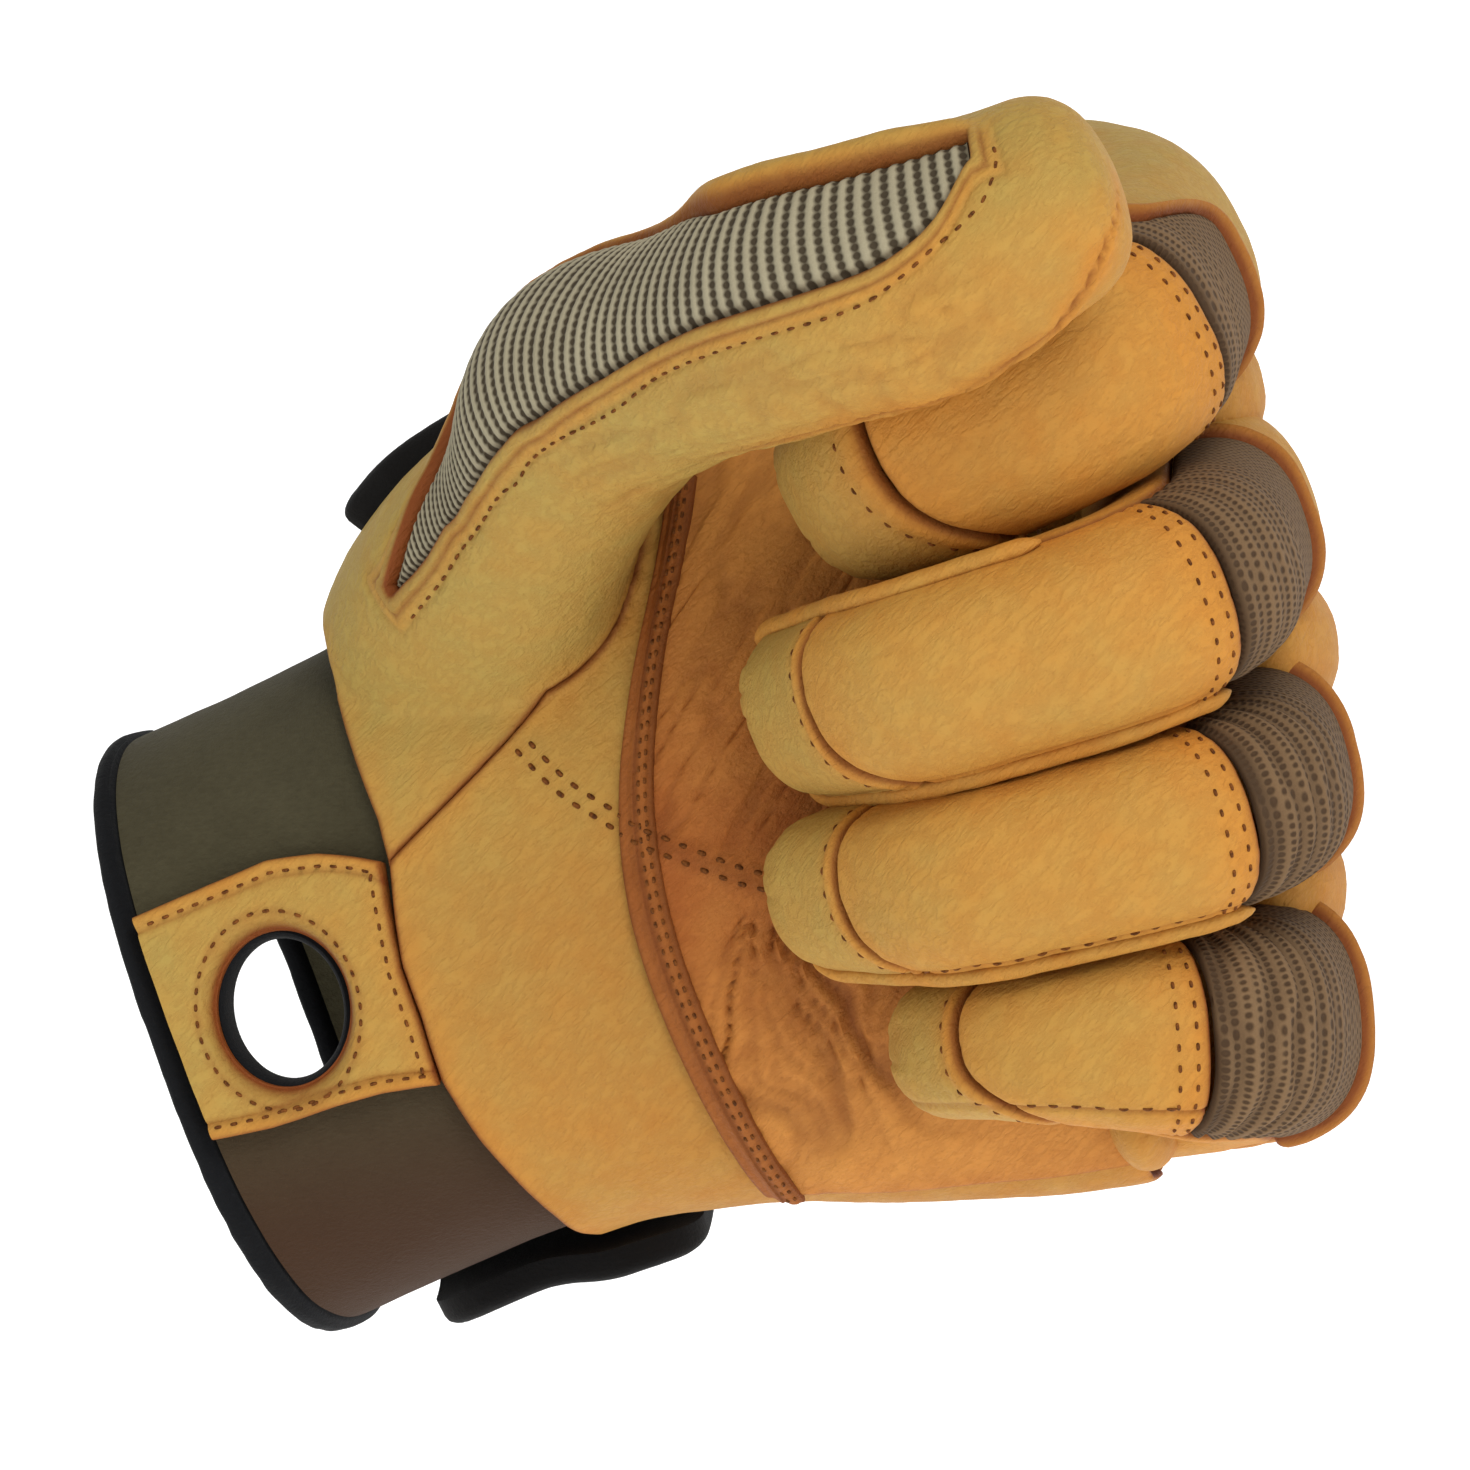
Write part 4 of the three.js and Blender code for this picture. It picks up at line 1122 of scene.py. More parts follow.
HOLE_STRETCH = (0.9, 1.07)
HOLE_COVER = 0.5
HOLE_HEM = 1.6
TAB_LENGTH, TAB_WIDTH = 22.0, 21.5
TAB_HEM = 1.7


def hole_distance(points, cover=0.0):
    """Distance outside the clip hole's edge, in the plane of the palm. A cover makes the hole smaller."""
    across = (points[:, 0] - CLIP_HOLE["x"]) / HOLE_STRETCH[0]
    reach = np.hypot(across, (points[:, 2] - CLIP_HOLE["z"]) / HOLE_STRETCH[1])
    return np.where(points[:, 1] < 0, reach - CLIP_HOLE["radius"] - SEAM_GAP + cover, 30)


def make_cuff():
    count = 320
    angles = np.linspace(0, 360, count, endpoint=False)
    rows = np.linspace(BINDING_STATION + 0.01, CUFF_END, 40)
    sheet = grid_sheet(hand_point, angles[None].repeat(len(rows), 0), rows[:, None].repeat(count, 1), True)
    sheet.values["hole"] = hole_distance(sheet.points)
    sheet = sheet.split("hole")
    sheet = sheet.kept(sheet.values["hole"])
    sheet.points = sheet.points - sheet.outward * CUFF_SINK
    relief = 0.18 * noise(sheet.points * (1, 1, 0.5), 14, 8) + 0.08 * noise(sheet.points, 4, 9)
    # Painted warm bounce light from the leather: the cuff turns browner towards its bottom.
    low = 0.9 * (1 - eased(sheet.points[:, 2], -22, 2))
    piece = shell_object("cuff_fabric_tube", sheet, relief, CUFF_WALL, CUFF_FABRIC, dict(low=low))
    return finished(piece, "cuff_fabric", "cuff")


def make_binding():
    """A rolled edge: a fat rounded band round the cuff's end, with a sewn line near its inner side."""
    count, ring = 280, 24
    angles = np.linspace(0, 360, count, endpoint=False)
    points = []
    for turn in np.linspace(0, 2 * math.pi, ring, endpoint=False):
        reach = np.sign(math.cos(turn)) * abs(math.cos(turn)) ** 0.7
        rise = np.sign(math.sin(turn)) * abs(math.sin(turn)) ** 0.8
        sewn = 0.3 * math.exp(-((reach - 0.62) / 0.12) ** 2) * (rise > 0)
        station = np.full(count, BINDING_STATION * (0.5 + 0.5 * reach))
        points.append(hand_point(angles, station, np.full(count, -2.9 + 1.7 * rise - sewn)))
    points = np.array(points).reshape(-1, 3)
    points = points + 0.06 * noise(points, 1.5, 2)[:, None]
    piece = mesh_object("cuff_binding_roll", points, tube_faces(ring, count, True), BLACK_KNIT)
    return finished(piece, "black_trim", "cuff_binding")


def tab_place(along, across):
    """Angles and stations at shares of the tab's length and width."""
    nominal = TAB["at"][0] + (TAB["at"][-1] - TAB["at"][0]) * along
    low, high = np.interp(nominal, TAB["at"], TAB["low"]), np.interp(nominal, TAB["at"], TAB["high"])
    angles = low + (high - low) * across
    end = np.interp(angles, TAB_END["angle"], TAB_END["station"])
    return angles, TAB["at"][0] + (end - TAB["at"][0]) * along


def make_tab():
    rows = spaced(TAB_LENGTH, 0.4) / TAB_LENGTH
    cols = spaced(TAB_WIDTH, 0.4) / TAB_WIDTH
    angles, stations = tab_place(rows[:, None], cols[None])
    sheet = grid_sheet(hand_point, angles, stations)
    along = rows.repeat(len(cols)) * TAB_LENGTH
    across = np.tile(cols, len(rows)) * TAB_WIDTH
    hole = hole_distance(sheet.points, HOLE_COVER)
    sheet.values.update(hem=np.minimum(across, TAB_WIDTH - across), along=along, hole=hole)
    sheet = cut_rows(sheet, "hole")
    sheet = sheet.kept(sheet.values["hole"])
    v = sheet.values
    v["edge"] = np.minimum.reduce([v["hem"], v["hole"], v["along"] + 3, TAB_LENGTH - v["along"]])
    sunk = -1.7 * (1 - eased(v["hole"], -0.4, HOLE_HEM)) - 0.2 * bump_at(v["hole"] - HOLE_HEM, 0.35)
    hem = 0.3 * (1 - eased(v["hem"], TAB_HEM - 0.5, TAB_HEM)) - 0.25 * bump_at(v["hem"] - TAB_HEM - 0.2, 0.3)
    relief = rolled(v["edge"], 0.7) + leather_relief(sheet.points, 0.14) + sunk + hem
    shades = seam_shades(sheet, 0.0)
    # Painted shade in the hem's groove, in the groove round the hole and where the leather slopes down into
    # the hole.
    shades["dark"] += 0.4 * bump_at(v["hem"] - TAB_HEM - 0.2, 0.35) + 0.3 * bump_at(v["hole"] - HOLE_HEM, 0.4)
    shades["dark"] += 0.35 * bump_at(v["hole"], 0.9)
    shades["warm"] += 0.25 * (1 - eased(v["hem"], 1.0, 2.5)) - 0.3 * bump_at(v["hole"], 2.0)
    piece = shell_object("wrist_tab_leather", sheet, relief, LEATHER_WALL, LEATHER, shades)
    return finished(piece, "leather", "wrist_tab")


def make_clip_ring():
    """A bound ring through tab and cuff, under the leather's turned-in rim."""
    count, ring = 96, 16
    middle_y, half_deep, half_thick = -17.2, 2.2, 0.65
    centre = np.array([CLIP_HOLE["x"], middle_y, CLIP_HOLE["z"]])
    points = []
    for t in np.linspace(0, 2 * math.pi, count, endpoint=False):
        across = np.array([math.cos(t) * HOLE_STRETCH[0], 0, math.sin(t) * HOLE_STRETCH[1]])
        middle = centre + across * (CLIP_HOLE["radius"] - half_thick)
        for u in np.linspace(0, 2 * math.pi, ring, endpoint=False):
            through = np.array([0, half_deep * math.sin(u), 0])
            points.append(middle + across * half_thick * math.cos(u) + through)
    faces = [face[::-1] for face in tube_faces(count, ring, True)]
    piece = mesh_object("clip_ring_trim", points, faces, BLACK_KNIT)
    return finished(piece, "black_trim", "clip_ring")


def tab_stitches(tab):
    """Stitches along the tab's two hems, beside the palm and round the clip hole."""
    tree = face_tree(tab)
    lines = []
    inward = (TAB_HEM + 0.25) / TAB_WIDTH
    for across in (inward, 1 - inward):
        lines.append(tab_place(np.linspace(0.02, 0.985, 90), np.full(90, across)))
    lines.append(tab_place(np.full(60, 1 - 1.2 / TAB_LENGTH), np.linspace(0.08, 0.92, 60)))
    rows = []
    for angle, station in lines:
        rows.append(nearest_on(tree, hand_point(angle, station, np.full(len(angle), 0.6))))
    turn = np.linspace(0, 2 * math.pi, 120)
    reach = CLIP_HOLE["radius"] + SEAM_GAP + HOLE_HEM - HOLE_COVER
    ring = np.stack([CLIP_HOLE["x"] + reach * HOLE_STRETCH[0] * np.cos(turn),
                     CLIP_HOLE["z"] + reach * HOLE_STRETCH[1] * np.sin(turn)], 1)
    rows.append(on_palm([tree], ring))
    stitches_object("wrist_tab_stitches", rows, pitch=1.6, length=1.0)


# The palm patch, its folded edge strip, and the stitches of the palm

PALM_HALF, PALM_DEPTH = 42.0, 21.0
PATCH_WIDTH, PATCH_LENGTH, PATCH_STEP = 80.0, 36.0, 0.45
PATCH_LOW, PATCH_HIGH, STRIP_HIGH = 203, 312, 306
FOLD_FAN = np.array([58.7, 6.0])
CROSS_ROWS = 0.73
STRIP_LEFT, STRIP_RIGHT = -2.1, 2.0
STRIP_ROWS = (0.15, 1.55)


def patch_start(angles):
    """The station at which the patch's edge line crosses each angle of the palm."""
    line = curve_through([(61.0, 62.0), *PATCH_EDGE, (56.6, -38.0)])
    stations = np.linspace(2.0, 4.6, 260)
    starts = []
    for angle in angles:
        points = hand_point(np.full_like(stations, angle), stations, np.zeros_like(stations))
        signed = beside(points[:, [0, 2]], line)
        starts.append(np.interp(0, signed, stations))
    return np.array(starts)


def hand_speed(angles, stations):
    """Millimetres along the hand for one station."""
    ahead = hand_point(angles, stations + 0.01, np.zeros_like(angles))
    return np.linalg.norm(ahead - hand_point(angles, stations, np.zeros_like(angles)), axis=-1) / 0.01


def patch_folds(points):
    """Creases pressed into the patch: a fan below the ring finger's tip, slanting lines above it."""
    plane = points[:, [0, 2]]
    away = plane - FOLD_FAN
    reach = np.linalg.norm(away, axis=1)
    turn = np.arctan2(away[:, 0], -away[:, 1])
    wander = 0.22 * noise(points, 7, 21)
    fan = ridges(np.stack([(turn + wander) * 7.0, reach * 0.06, 0 * turn], 1), 1.0, 31)
    fine = ridges(np.stack([(turn + wander) * 17.0, reach * 0.12, 0 * turn], 1), 1.0, 32)
    reached = eased(reach, 0.5, 4) * (1 - eased(reach, 14, 34))
    fan_share = reached * eased(turn, -1.0, -0.6) * (1 - eased(turn, 1.3, 1.8))
    across = plane @ np.array([0.75, -0.66])
    along = plane @ np.array([0.66, 0.75])
    slant = ridges(np.stack([across / 1.3 + wander, along * 0.1, 0 * along], 1), 1.0, 33)
    slant_share = eased(plane[:, 1], 8, 13)
    return (0.75 * fan + 0.3 * fine) * fan_share + 0.34 * slant * slant_share


def make_patch():
    width, length = PATCH_WIDTH, PATCH_LENGTH
    count = int(width / PATCH_STEP)
    angles = even_angles(PATCH_LOW, PATCH_HIGH, count, PALM_HALF, PALM_DEPTH, HAND_SQUARENESS)
    start = patch_start(angles)
    rows = spaced(length, PATCH_STEP) / length
    stations = start[None] + (HAND_END - start)[None] * rows[:, None]
    sheet = grid_sheet(hand_point, np.broadcast_to(angles, stations.shape), stations)
    run = np.linspace(0, width, len(angles))
    across = np.minimum(run, width - run)[None].repeat(len(rows), 0)
    sheet.values["edge"] = np.minimum((rows * length)[:, None], across).ravel()
    seam = beside(sheet.points[:, [0, 2]], curve_through(CROSS_SEAM))
    folds = patch_folds(sheet.points)
    relief = rolled(sheet.values["edge"], 0.9) + folds + leather_relief(sheet.points, 0.12) + seam_ridge(seam)
    shades = seam_shades(sheet, 0.0)
    shades["warm"] = 0.1 + 0.75 * bump_at(sheet.points[:, 2] - 10, 20)
    shades["warm"] += 0.3 * bump_at(sheet.values["edge"], 2.2)
    sheet.points = sheet.points + sheet.outward * PATCH_LIFT
    # Painted shade in the fold valleys; darker along the cross seam.
    shades["dark"] += -0.8 * folds + 0.35 * bump_at(seam, 1.0)
    piece = shell_object("palm_patch_leather", sheet, relief, PATCH_WALL, PATCH_LEATHER, shades)
    return finished(piece, "patch_leather", "palm_patch")


def seam_ridge(distance):
    """A lapped seam with a sunk line of stitches at each side of it."""
    lap = 0.25 * (eased(distance, -1.7, -1.1) * (1 - eased(distance, 1.1, 1.7)))
    return lap - 0.2 * (bump_at(distance - CROSS_ROWS, 0.3) + bump_at(distance + CROSS_ROWS, 0.3))


def strip_line():
    """Angles round the palm, and the stations and station lengths of the patch's edge there."""
    angles = even_angles(PATCH_LOW, STRIP_HIGH, 240, PALM_HALF, PALM_DEPTH, HAND_SQUARENESS)
    start = patch_start(angles)
    return angles, start, hand_speed(angles, start)


def make_strip():
    """The folded strip of leather along the patch's edge: a smooth roll and a sewn half."""
    angles, start, speed = strip_line()
    rim = np.array(EDGE_ROWS[:4])
    across = np.concatenate([STRIP_LEFT + rim, np.linspace(-1.3, 1.3, 20), STRIP_RIGHT - rim[::-1]])
    stations = start[None] + across[:, None] / speed[None]
    sheet = grid_sheet(hand_point, np.broadcast_to(angles, stations.shape), stations)
    w = across.repeat(len(angles))
    edge = np.minimum(w - STRIP_LEFT, STRIP_RIGHT - w)
    roll = 0.4 * (1 - ((w + 1.1) / 1.0) ** 2).clip(0, 1) ** 0.5
    grooves = -0.22 * (bump_at(w - STRIP_ROWS[0], 0.28) + bump_at(w - STRIP_ROWS[1], 0.28))
    step = 1.2 * eased(w, -1.2, 0.3)
    relief = rolled(edge, 0.6) + roll + grooves + step + 0.08 * noise(sheet.points, 3, 41)
    sheet.points = sheet.points + sheet.outward * STRIP_LIFT
    # Painted shade where the roll meets the sewn half, at the strip's edges and in the outer stitch groove.
    dark = 0.45 * bump_at(w + 0.05, 0.35) + 0.5 * bump_at(edge, 0.35) + 0.3 * bump_at(w - STRIP_ROWS[1], 0.3)
    shades = dict(warm=0.35 + 0.25 * noise(sheet.points, 4, 42) - 0.5 * eased(w, 0.3, 0.9), dark=dark)
    piece = shell_object("palm_strip_leather", sheet, relief, STRIP_WALL, STRIP_LEATHER, shades)
    return finished(piece, "patch_leather")


def palm_stitches(palm, patch, strip):
    """The stitches along the strip and both rows of the seam across the palm."""
    angles, start, speed = strip_line()
    tree = face_tree(strip)
    rows = []
    for place in STRIP_ROWS:
        rows.append(nearest_on(tree, hand_point(angles, start + place / speed, np.full(len(angles), 2.6))))
    stitches_object("palm_strip_stitches", rows, pitch=1.35, length=0.85)
    trees = [tree, face_tree(palm), face_tree(patch)]
    seam = curve_through(CROSS_SEAM)
    rows = [on_palm(trees, shifted(seam, amount)) for amount in (CROSS_ROWS, -CROSS_ROWS)]
    stitches_object("palm_cross_stitches", rows, pitch=1.9, length=1.15, thick=0.24)


# The strap, and the stitches beside the thumb's mesh

def strap_point(angle, station, offset):
    """The hand's skin where the strap lies: sunk over the cuff, lifted at the palm's low side."""
    lift = 1.2 * eased(angle, 110, 165) - 1.7 * (1 - eased(station, 0.72, 0.96))
    return hand_point(angle, station, offset + lift)


def make_strap():
    """A wide strap over the back of the wrist, cut back towards the cuff beside the thumb."""
    over_hand, over_thumb = SEAM_GAP + STRAP["reach"], SEAM_GAP + STRAP["reach"] * 0.8
    skin = union_skin(strap_point, 0.05, over_hand, over_thumb, 0.95, 10)
    lean = math.radians(STRAP["lean"])
    p = skin.points
    along = (p[:, 0] - STRAP["x"]) * math.cos(lean) + (p[:, 2] - STRAP["z"]) * math.sin(lean)
    corner = 8.0 - 6.0 * eased(p[:, 2], 5, 25)
    drawn_in = np.interp(p[:, 2], STRAP_END["z"], STRAP_END["drawn_in"])
    x_over = np.maximum(along, drawn_in - along) - STRAP["width"] / 2 + corner
    front = np.interp(p[:, 2], STRAP_END["z"], STRAP_END["front"])
    y_over = corner - (p[:, 1] - front)
    past_corner = np.hypot(np.maximum(x_over, 0), np.maximum(y_over, 0))
    skin.values["edge"] = corner - np.minimum(np.maximum(x_over, y_over), 0) - past_corner
    skin = cut_rows(skin, "edge")
    skin = skin.kept(skin.values["edge"])
    edge = skin.values["edge"]
    relief = rolled(edge, 1.4) + 0.12 * noise(skin.points, 6, 51) - 0.25 * bump_at(edge - 2.4, 0.5)
    piece = shell_object("closing_strap_band", skin, relief, STRAP["wall"], BLACK_STRAP)
    return finished(piece, "black_trim", "closing_strap")


def insert_stitches(thumb):
    """One row of stitches beside the mesh, from the wrist round its far end."""
    beside_mesh = np.array([1.95, 2.1, 2.25, 2.45, 2.7, 3, 3.4, 4, 4.6, 5.3, 5.8, 6.5, 7.0])
    end_stations, end_angles = [7.4, 7.75, 7.95, 8.08, 8.1], [40, 50, 60, 74, 88]
    stations = np.concatenate([beside_mesh, end_stations])
    angles = np.concatenate([np.interp(beside_mesh, INSERT_AT, INSERT_LOW) - 15.6, end_angles])
    line = curve_through(np.stack([stations * 10, angles], 1), 0.25)
    points = thumb_point(line[:, 1], line[:, 0] / 10, np.full(len(line), 0.6))
    points, outward = nearest_on(face_tree(thumb), points)
    points = np.stack([evened(points[:, k], 41) for k in range(3)], 1)
    stitches_object("thumb_insert_stitches", [(points, outward)], pitch=1.7, length=1.1, thick=0.16)


# Fingers, and the webs between the knuckles

WEBS = columns("x y z along across up", [
    (106.4, -6.0, 45.6, 5.4, 12.0, 7.0),
    (109.4, -7.0, 20.8, 5.4, 12.0, 7.5),
    (106.0, -7.0, -1.6, 5.6, 12.0, 7.5),
    (89.6, -8.0, -21.6, 3.2, 9.0, 5.0),
])


def make_webs():
    """Soft leather that fills the dips between the knuckles and beside the little finger's root."""
    rings, sides = 22, 40
    for number in range(len(WEBS["x"])):
        middle = np.array([WEBS[k][number] for k in "xyz"])
        size = np.array([WEBS[k][number] for k in ("along", "across", "up")])
        points = []
        for rise in np.linspace(-0.98, 0.98, rings):
            share = math.sqrt(1 - rise * rise)
            for turn in np.linspace(0, 2 * math.pi, sides, endpoint=False):
                points.append(middle + size * (share * math.cos(turn), rise, share * math.sin(turn)))
        points = np.array(points)
        points = points + leather_relief(points, 0.3)[:, None] * (1, 0, 0)
        shades = dict(warm=0.3 + tint(points), dark=np.full(len(points), 0.1))
        name = f"knuckle_web_{number + 1}"
        finished(mesh_object(name, points, tube_faces(rings, sides), LEATHER, shades), "leather")


PAD_ROWS = (1.05, 2.05)
TIP_ROW = 1.9
WELT_ANGLE = 165
STITCH_LIFT = 0.5
LOOKS = {
    "index": dict(warmth=0.45, side_warmth=-0.1, rib_depth=0.08, fabric_dark=0.0, low_seam=None, welt=0,
                  thumb_side=1.79),
    "middle": dict(warmth=0.1, side_warmth=0.1, rib_depth=0.12, fabric_dark=0.05, low_seam=153, welt=1.0),
    "ring": dict(warmth=0.05, side_warmth=0.2, rib_depth=0.25, fabric_dark=0.2, low_seam=153, welt=0.9),
    "little": dict(warmth=0.0, side_warmth=0.2, rib_depth=0.32, fabric_dark=0.12, low_seam=134, welt=0),
}


def tip_shift(angle):
    """How far the tip's seam swings back towards the knuckle on the little finger's side."""
    return 5.0 * eased(angle, 80, 180) * (1 - eased(angle, 180, 290))


def finger_panel(finger, name, angle_range, start_mm, stop_mm, relief_of, wall, material, step=0.6,
                 closed=False):
    """A panel of a finger between two distances along it, each a number or a function of the angle."""
    half, deep = finger.halves[2], finger.depths[2]
    around = math.pi * (half + deep) * (angle_range[1] - angle_range[0]) / 360
    count = int(around / step) + 2
    if closed:
        angles = even_angles(angle_range[0], angle_range[1], count + 1, half, deep, FINGER_SQUARENESS)[:-1]
    else:
        even = even_angles(angle_range[0], angle_range[1], 400, half, deep, FINGER_SQUARENESS)
        angles = np.interp(spaced(around, step) / around, np.linspace(0, 1, 400), even)
    start = start_mm(angles) if callable(start_mm) else np.full(len(angles), start_mm)
    stop = stop_mm(angles) if callable(stop_mm) else np.full(len(angles), stop_mm)
    length = float(np.mean(stop - start))
    rows = spaced(length, step) / length
    distance = start[None] + (stop - start)[None] * rows[:, None]
    grid_angles = angles[None].repeat(len(rows), 0)
    sheet = grid_sheet(finger.surface, grid_angles, finger.station(distance), closed)
    ends = np.minimum(distance - start[None], stop[None] - distance)
    across = np.full(ends.shape, 50.0)
    if not closed:
        run = spaced(around, step)
        across = np.minimum(run, around - run)[None].repeat(len(rows), 0)
    sheet.values.update(distance=distance.ravel(), from_start=(distance - start[None]).ravel(),
                        from_stop=(stop[None] - distance).ravel(), across=across.ravel(),
                        edge=np.minimum(ends, across).ravel())
    relief, shades = relief_of(sheet)
    return shell_object(name, sheet, relief, wall, material, shades)


def low_seam_groove(sheet, look, half):
    """The sewn line above a finger's low side: how near each point is to it."""
    if look["low_seam"] is None:
        return np.zeros(len(sheet.points))
    return bump_at(np.radians(sheet.values["angle"] - look["low_seam"]) * half, 0.35)


def make_finger(name, finger):
    look = LOOKS[name]
    low, high, gap = PANEL_LOW, PANEL_HIGH, PANEL_GAP
    half = SEAM_GAP / 2
    fabric = finger.distance(FABRIC_FROM)
    pad = finger.distance(finger.pad_from)
    seam = finger.distance(finger.tip_seam)
    total = finger.lengths[-1]

    def seam_at(shift):
        return lambda angles: seam - tip_shift(angles) + shift

    def fabric_at(shift):
        reach = finger.distance(look["thumb_side"]) - fabric if "thumb_side" in look else 0
        return lambda angles: fabric + reach * (1 - eased(angles, 30, 85)) + shift

    def plain(sheet):
        relief = rolled(sheet.values["edge"]) + leather_relief(sheet.points)
        return relief, seam_shades(sheet, look["side_warmth"])

    def back_look(sheet):
        relief, shades = plain(sheet)
        from_stop = sheet.values["from_stop"]
        shades["dark"] += 0.45 * bump_at(from_stop - 0.9, 1.0)
        shades["warm"] += 0.4 * bump_at(from_stop - 0.9, 1.5)
        return relief + 0.7 * bump_at(from_stop - 1.0, 0.8) - 0.3 * bump_at(from_stop - 2.4, 0.4), shades

    def pad_look(sheet):
        v = sheet.values
        p = sheet.points
        line = low_seam_groove(sheet, look, finger.halves[2])
        grooves = -0.2 * sum(bump_at(v["from_start"] - row, 0.2) for row in PAD_ROWS)
        around = np.radians(v["angle"]) * finger.halves[2]
        along = v["distance"] / 7 + 0.3 * noise(p, 5, 71)
        fine = ridges(np.stack([along, around / 1.4, 0 * around], 1), 1.0, 8)
        relief = rolled(v["edge"], 1.2) + leather_relief(p, 0.14) + grooves + 0.08 * fine - 0.3 * line
        shades = seam_shades(sheet, look["warmth"], 0.8, 0.28)
        # More orange towards the pad's sides and its start: partly painted shade where the pad turns away,
        # partly dirt.
        shades["warm"] += 0.3 * bump_at(v["across"], 5) + 0.2 * bump_at(v["from_start"], 4)
        # Painted shade beside the knit where the pad turns in, in the low seam's groove and in the fine
        # wrinkles.
        shades["dark"] += 0.35 * bump_at(v["from_start"], 0.55)
        shades["dark"] += 0.5 * line - 0.03 * fine
        return relief, shades

    def tip_look(sheet):
        v = sheet.values
        closeness = eased(v["from_stop"], 13, 2)
        turn = np.radians(v["angle"])
        pleats = ridges(np.stack([np.cos(turn) * 3.4, np.sin(turn) * 3.4, v["distance"] * 0.1], 1), 1.0, 7)
        sheet.values["edge"] = v["from_start"]
        line = low_seam_groove(sheet, look, finger.halves[3])
        rim = 0.15 * bump_at(v["from_start"] - 0.9, 0.5) - 0.2 * bump_at(v["from_start"] - TIP_ROW, 0.35)
        relief = rolled(v["from_start"], 0.8) + leather_relief(sheet.points, 0.14) + 0.35 * closeness * pleats
        relief = relief + rim - 0.3 * line
        shades = seam_shades(sheet, look["warmth"] * 0.5 - 0.2, 0.8, 0.3)
        # Painted shade in the pleat valleys and the low seam's groove, and deeper orange painted shade beside
        # the tip's seam.
        shades["dark"] += -0.22 * closeness * pleats + 0.4 * line
        shades["warm"] += 0.3 * bump_at(v["from_start"], 1.6)
        return relief, shades

    def fabric_look(sheet):
        v = sheet.values
        around = np.radians(v["angle"]) * finger.halves[2]
        fade = 1 - 0.85 * eased(v["from_stop"], 3, 13)
        ribs = np.cos((v["distance"] / 1.95 + 0.4 * noise(sheet.points, 7, 61)) * 2 * math.pi) * fade
        relief = -0.35 + look["rib_depth"] * ribs + rolled(v["edge"], 0.8) * 0.6
        # Painted shade at the panel's edges and in the rib valleys; fabric_dark darkens some fingers' knit
        # all over.
        dark = 0.8 * bump_at(v["edge"], 0.6) - look["rib_depth"] * ribs + look["fabric_dark"]
        return relief, dict(along=v["distance"], around=around, dark=dark)

    def leather(part, angles, start, stop, look_of, step, closed=False):
        piece = finger_panel(finger, f"{name}_{part}_leather", angles, start, stop, look_of,
                             LEATHER_WALL, LEATHER, step, closed)
        return finished(piece, "leather", f"{name}_{part}")

    leather("back", (low, high), 0.0, fabric_at(-half), back_look, 0.7)
    knit = finger_panel(finger, f"{name}_fabric_knit", (low, high), fabric_at(half), pad - half,
                        fabric_look, FABRIC_WALL, FINGER_KNIT, 0.44)
    finished(knit, "stretch_mesh", f"{name}_fabric")
    pad_piece = leather("pad", (low, high), pad + half, seam_at(-half), pad_look, 0.5)
    leather("inside", (high + gap, 360 + low - gap), 0.0, seam_at(half - 0.9), plain, 0.8)
    tip_piece = leather("tip", (0, 360), seam_at(half), total - 0.02, tip_look, 0.56, True)
    finger_stitches(name, finger, pad_piece, tip_piece)
    finger_welts(name, finger)


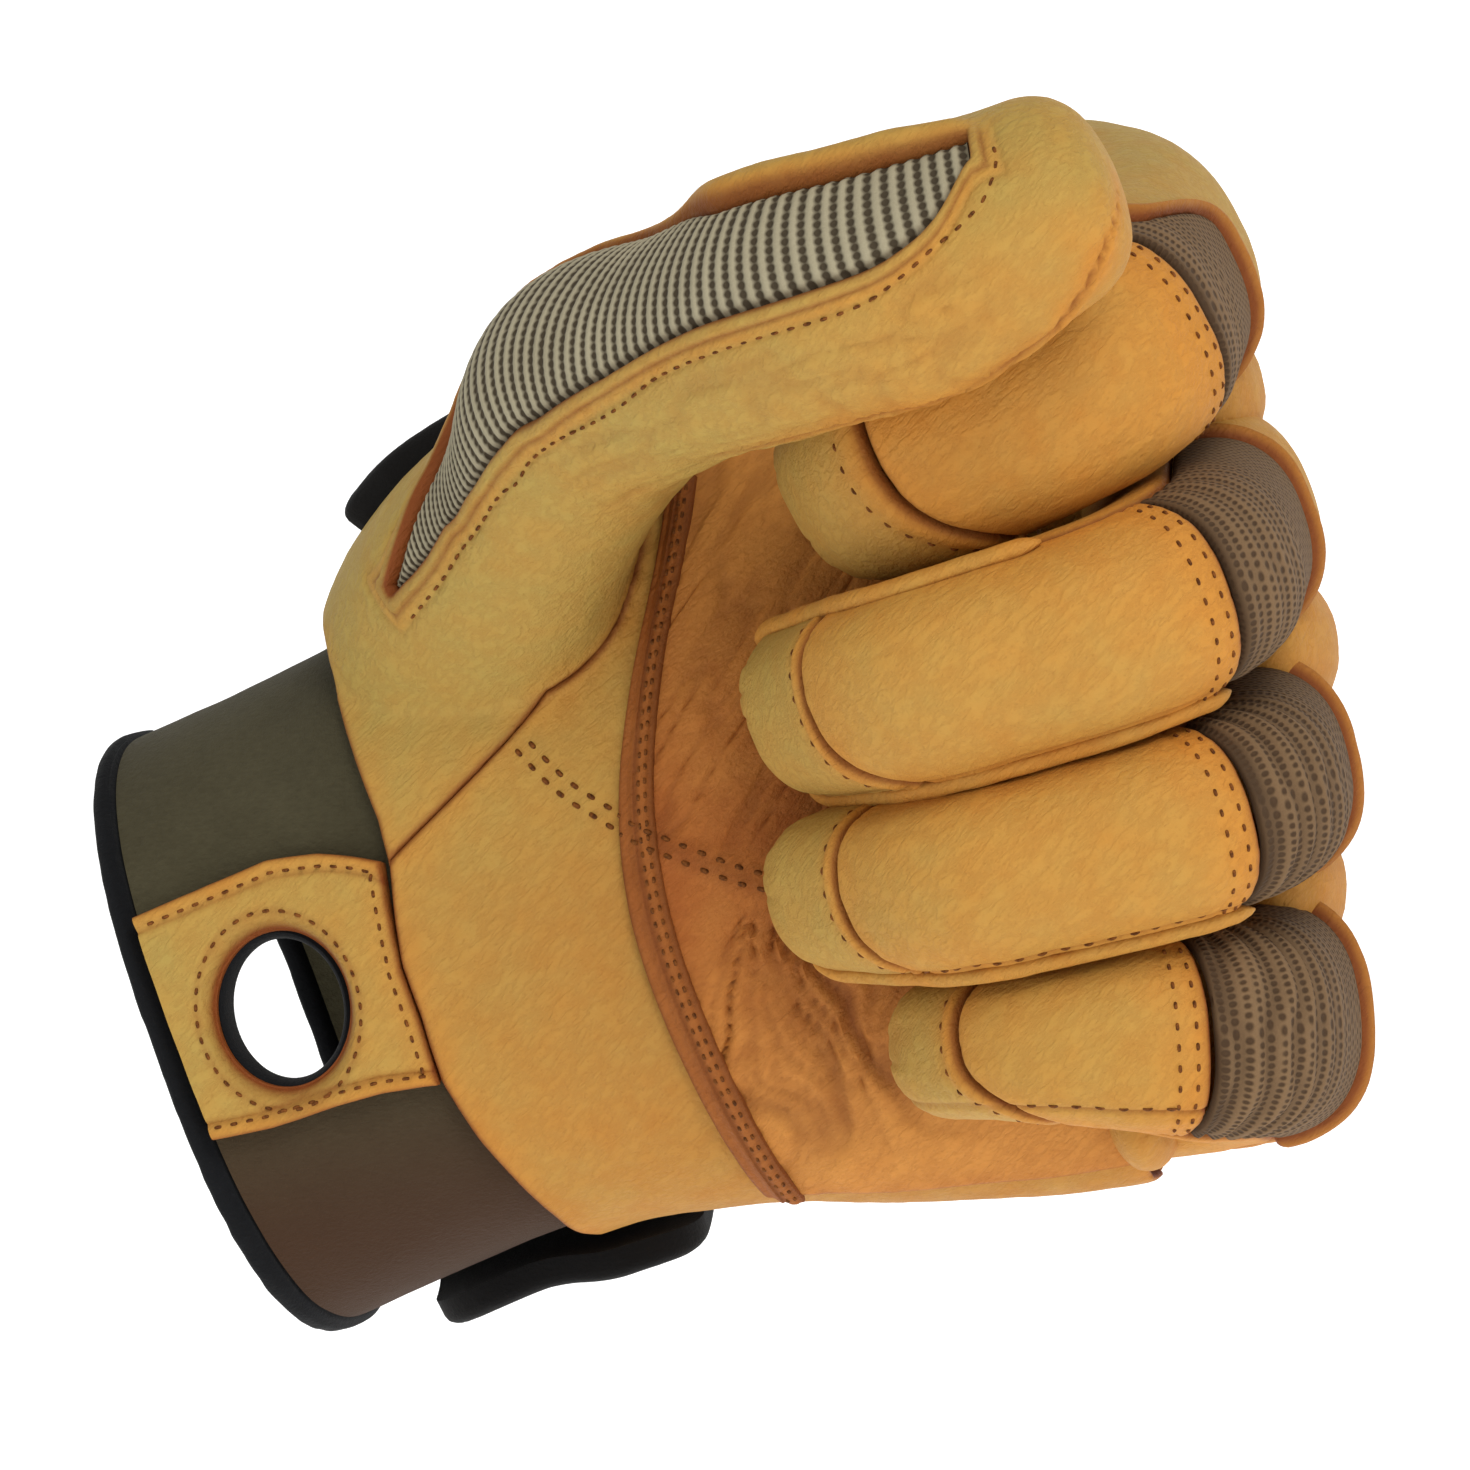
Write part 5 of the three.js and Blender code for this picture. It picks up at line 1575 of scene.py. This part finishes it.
def finger_stitches(name, finger, pad_piece, tip_piece):
    """Two rows near the pad's start, one beside the tip's seam, and on two fingers one along the low seam."""
    look = LOOKS[name]
    pad_tree, tip_tree = face_tree(pad_piece), face_tree(tip_piece)

    def laid_on(tree, angles, distance):
        lift = np.full_like(distance, STITCH_LIFT)
        return nearest_on(tree, finger.surface(angles, finger.station(distance), lift))

    angles = even_angles(14, 164, 120, finger.halves[2], finger.depths[2], FINGER_SQUARENESS)
    pad_start = finger.distance(finger.pad_from)
    rows = [laid_on(pad_tree, angles, np.full_like(angles, pad_start + row)) for row in PAD_ROWS]
    stitches_object(f"{name}_pad_stitches", rows)
    angles = even_angles(0, 359, 200, finger.halves[3], finger.depths[3], FINGER_SQUARENESS)
    distance = finger.distance(finger.tip_seam) - tip_shift(angles) + TIP_ROW
    rows = [laid_on(tip_tree, angles, distance)]
    stitches_object(f"{name}_tip_stitches", rows, pitch=2.2, length=1.1, thick=0.16)
    if look["low_seam"] and name != "middle":
        stop = finger.distance(finger.tip_seam) - tip_shift(np.array([look["low_seam"]]))[0] - 1.0
        distance = np.linspace(pad_start + 1.5, stop, 100)
        rows = [laid_on(pad_tree, np.full_like(distance, look["low_seam"]), distance)]
        stitches_object(f"{name}_side_stitches", rows, pitch=2.2, length=1.3)


def finger_welts(name, finger):
    """Rolled seams along a finger's sides."""
    look = LOOKS[name]
    if look["welt"]:
        start, stop = finger.distance(finger.pad_from) - 1.0, finger.lengths[-1] - 3.0
        finger_welt(f"{name}_low_welt", finger, WELT_ANGLE, start, stop, look["welt"])
    if name == "middle":
        start, stop = finger.distance(finger.pad_from) + 9.0, finger.lengths[-1] - 4.0
        finger_welt(f"{name}_high_welt", finger, 14, start, stop, 0.9)
    if name == "index":
        start, stop = finger.distance(FABRIC_FROM) + 1.0, finger.distance(finger.pad_from) + 7.0
        finger_welt(f"{name}_high_welt", finger, 7, start, stop, 1.0)


def finger_welt(name, finger, angle, start, stop, size):
    distance = np.linspace(start, stop, int((stop - start) / 0.5))
    station = finger.station(distance)
    angles = np.full(len(distance), angle)
    line = finger.surface(angles, station, np.full(len(distance), 0.35))
    outward = finger.surface(angles, station, np.full(len(distance), 1.35)) - line
    welt(name, line, unit(outward), size * 1.15, size * 0.95, 0.75)


# The whole glove

make_camera()
make_studio()
thumb_sheet, palm_sheet, back_sheet, band_sheet = build_skin_panels()
thumb_piece = make_thumb(thumb_sheet)
palm_piece = make_palm(palm_sheet)
make_back(back_sheet)
make_band(band_sheet)
make_insert()
make_cuff()
make_binding()
tab_stitches(make_tab())
make_clip_ring()
palm_stitches(palm_piece, make_patch(), make_strip())
insert_stitches(thumb_piece)
make_strap()
for finger_name, form in FINGERS.items():
    make_finger(finger_name, Finger(**form))
make_webs()
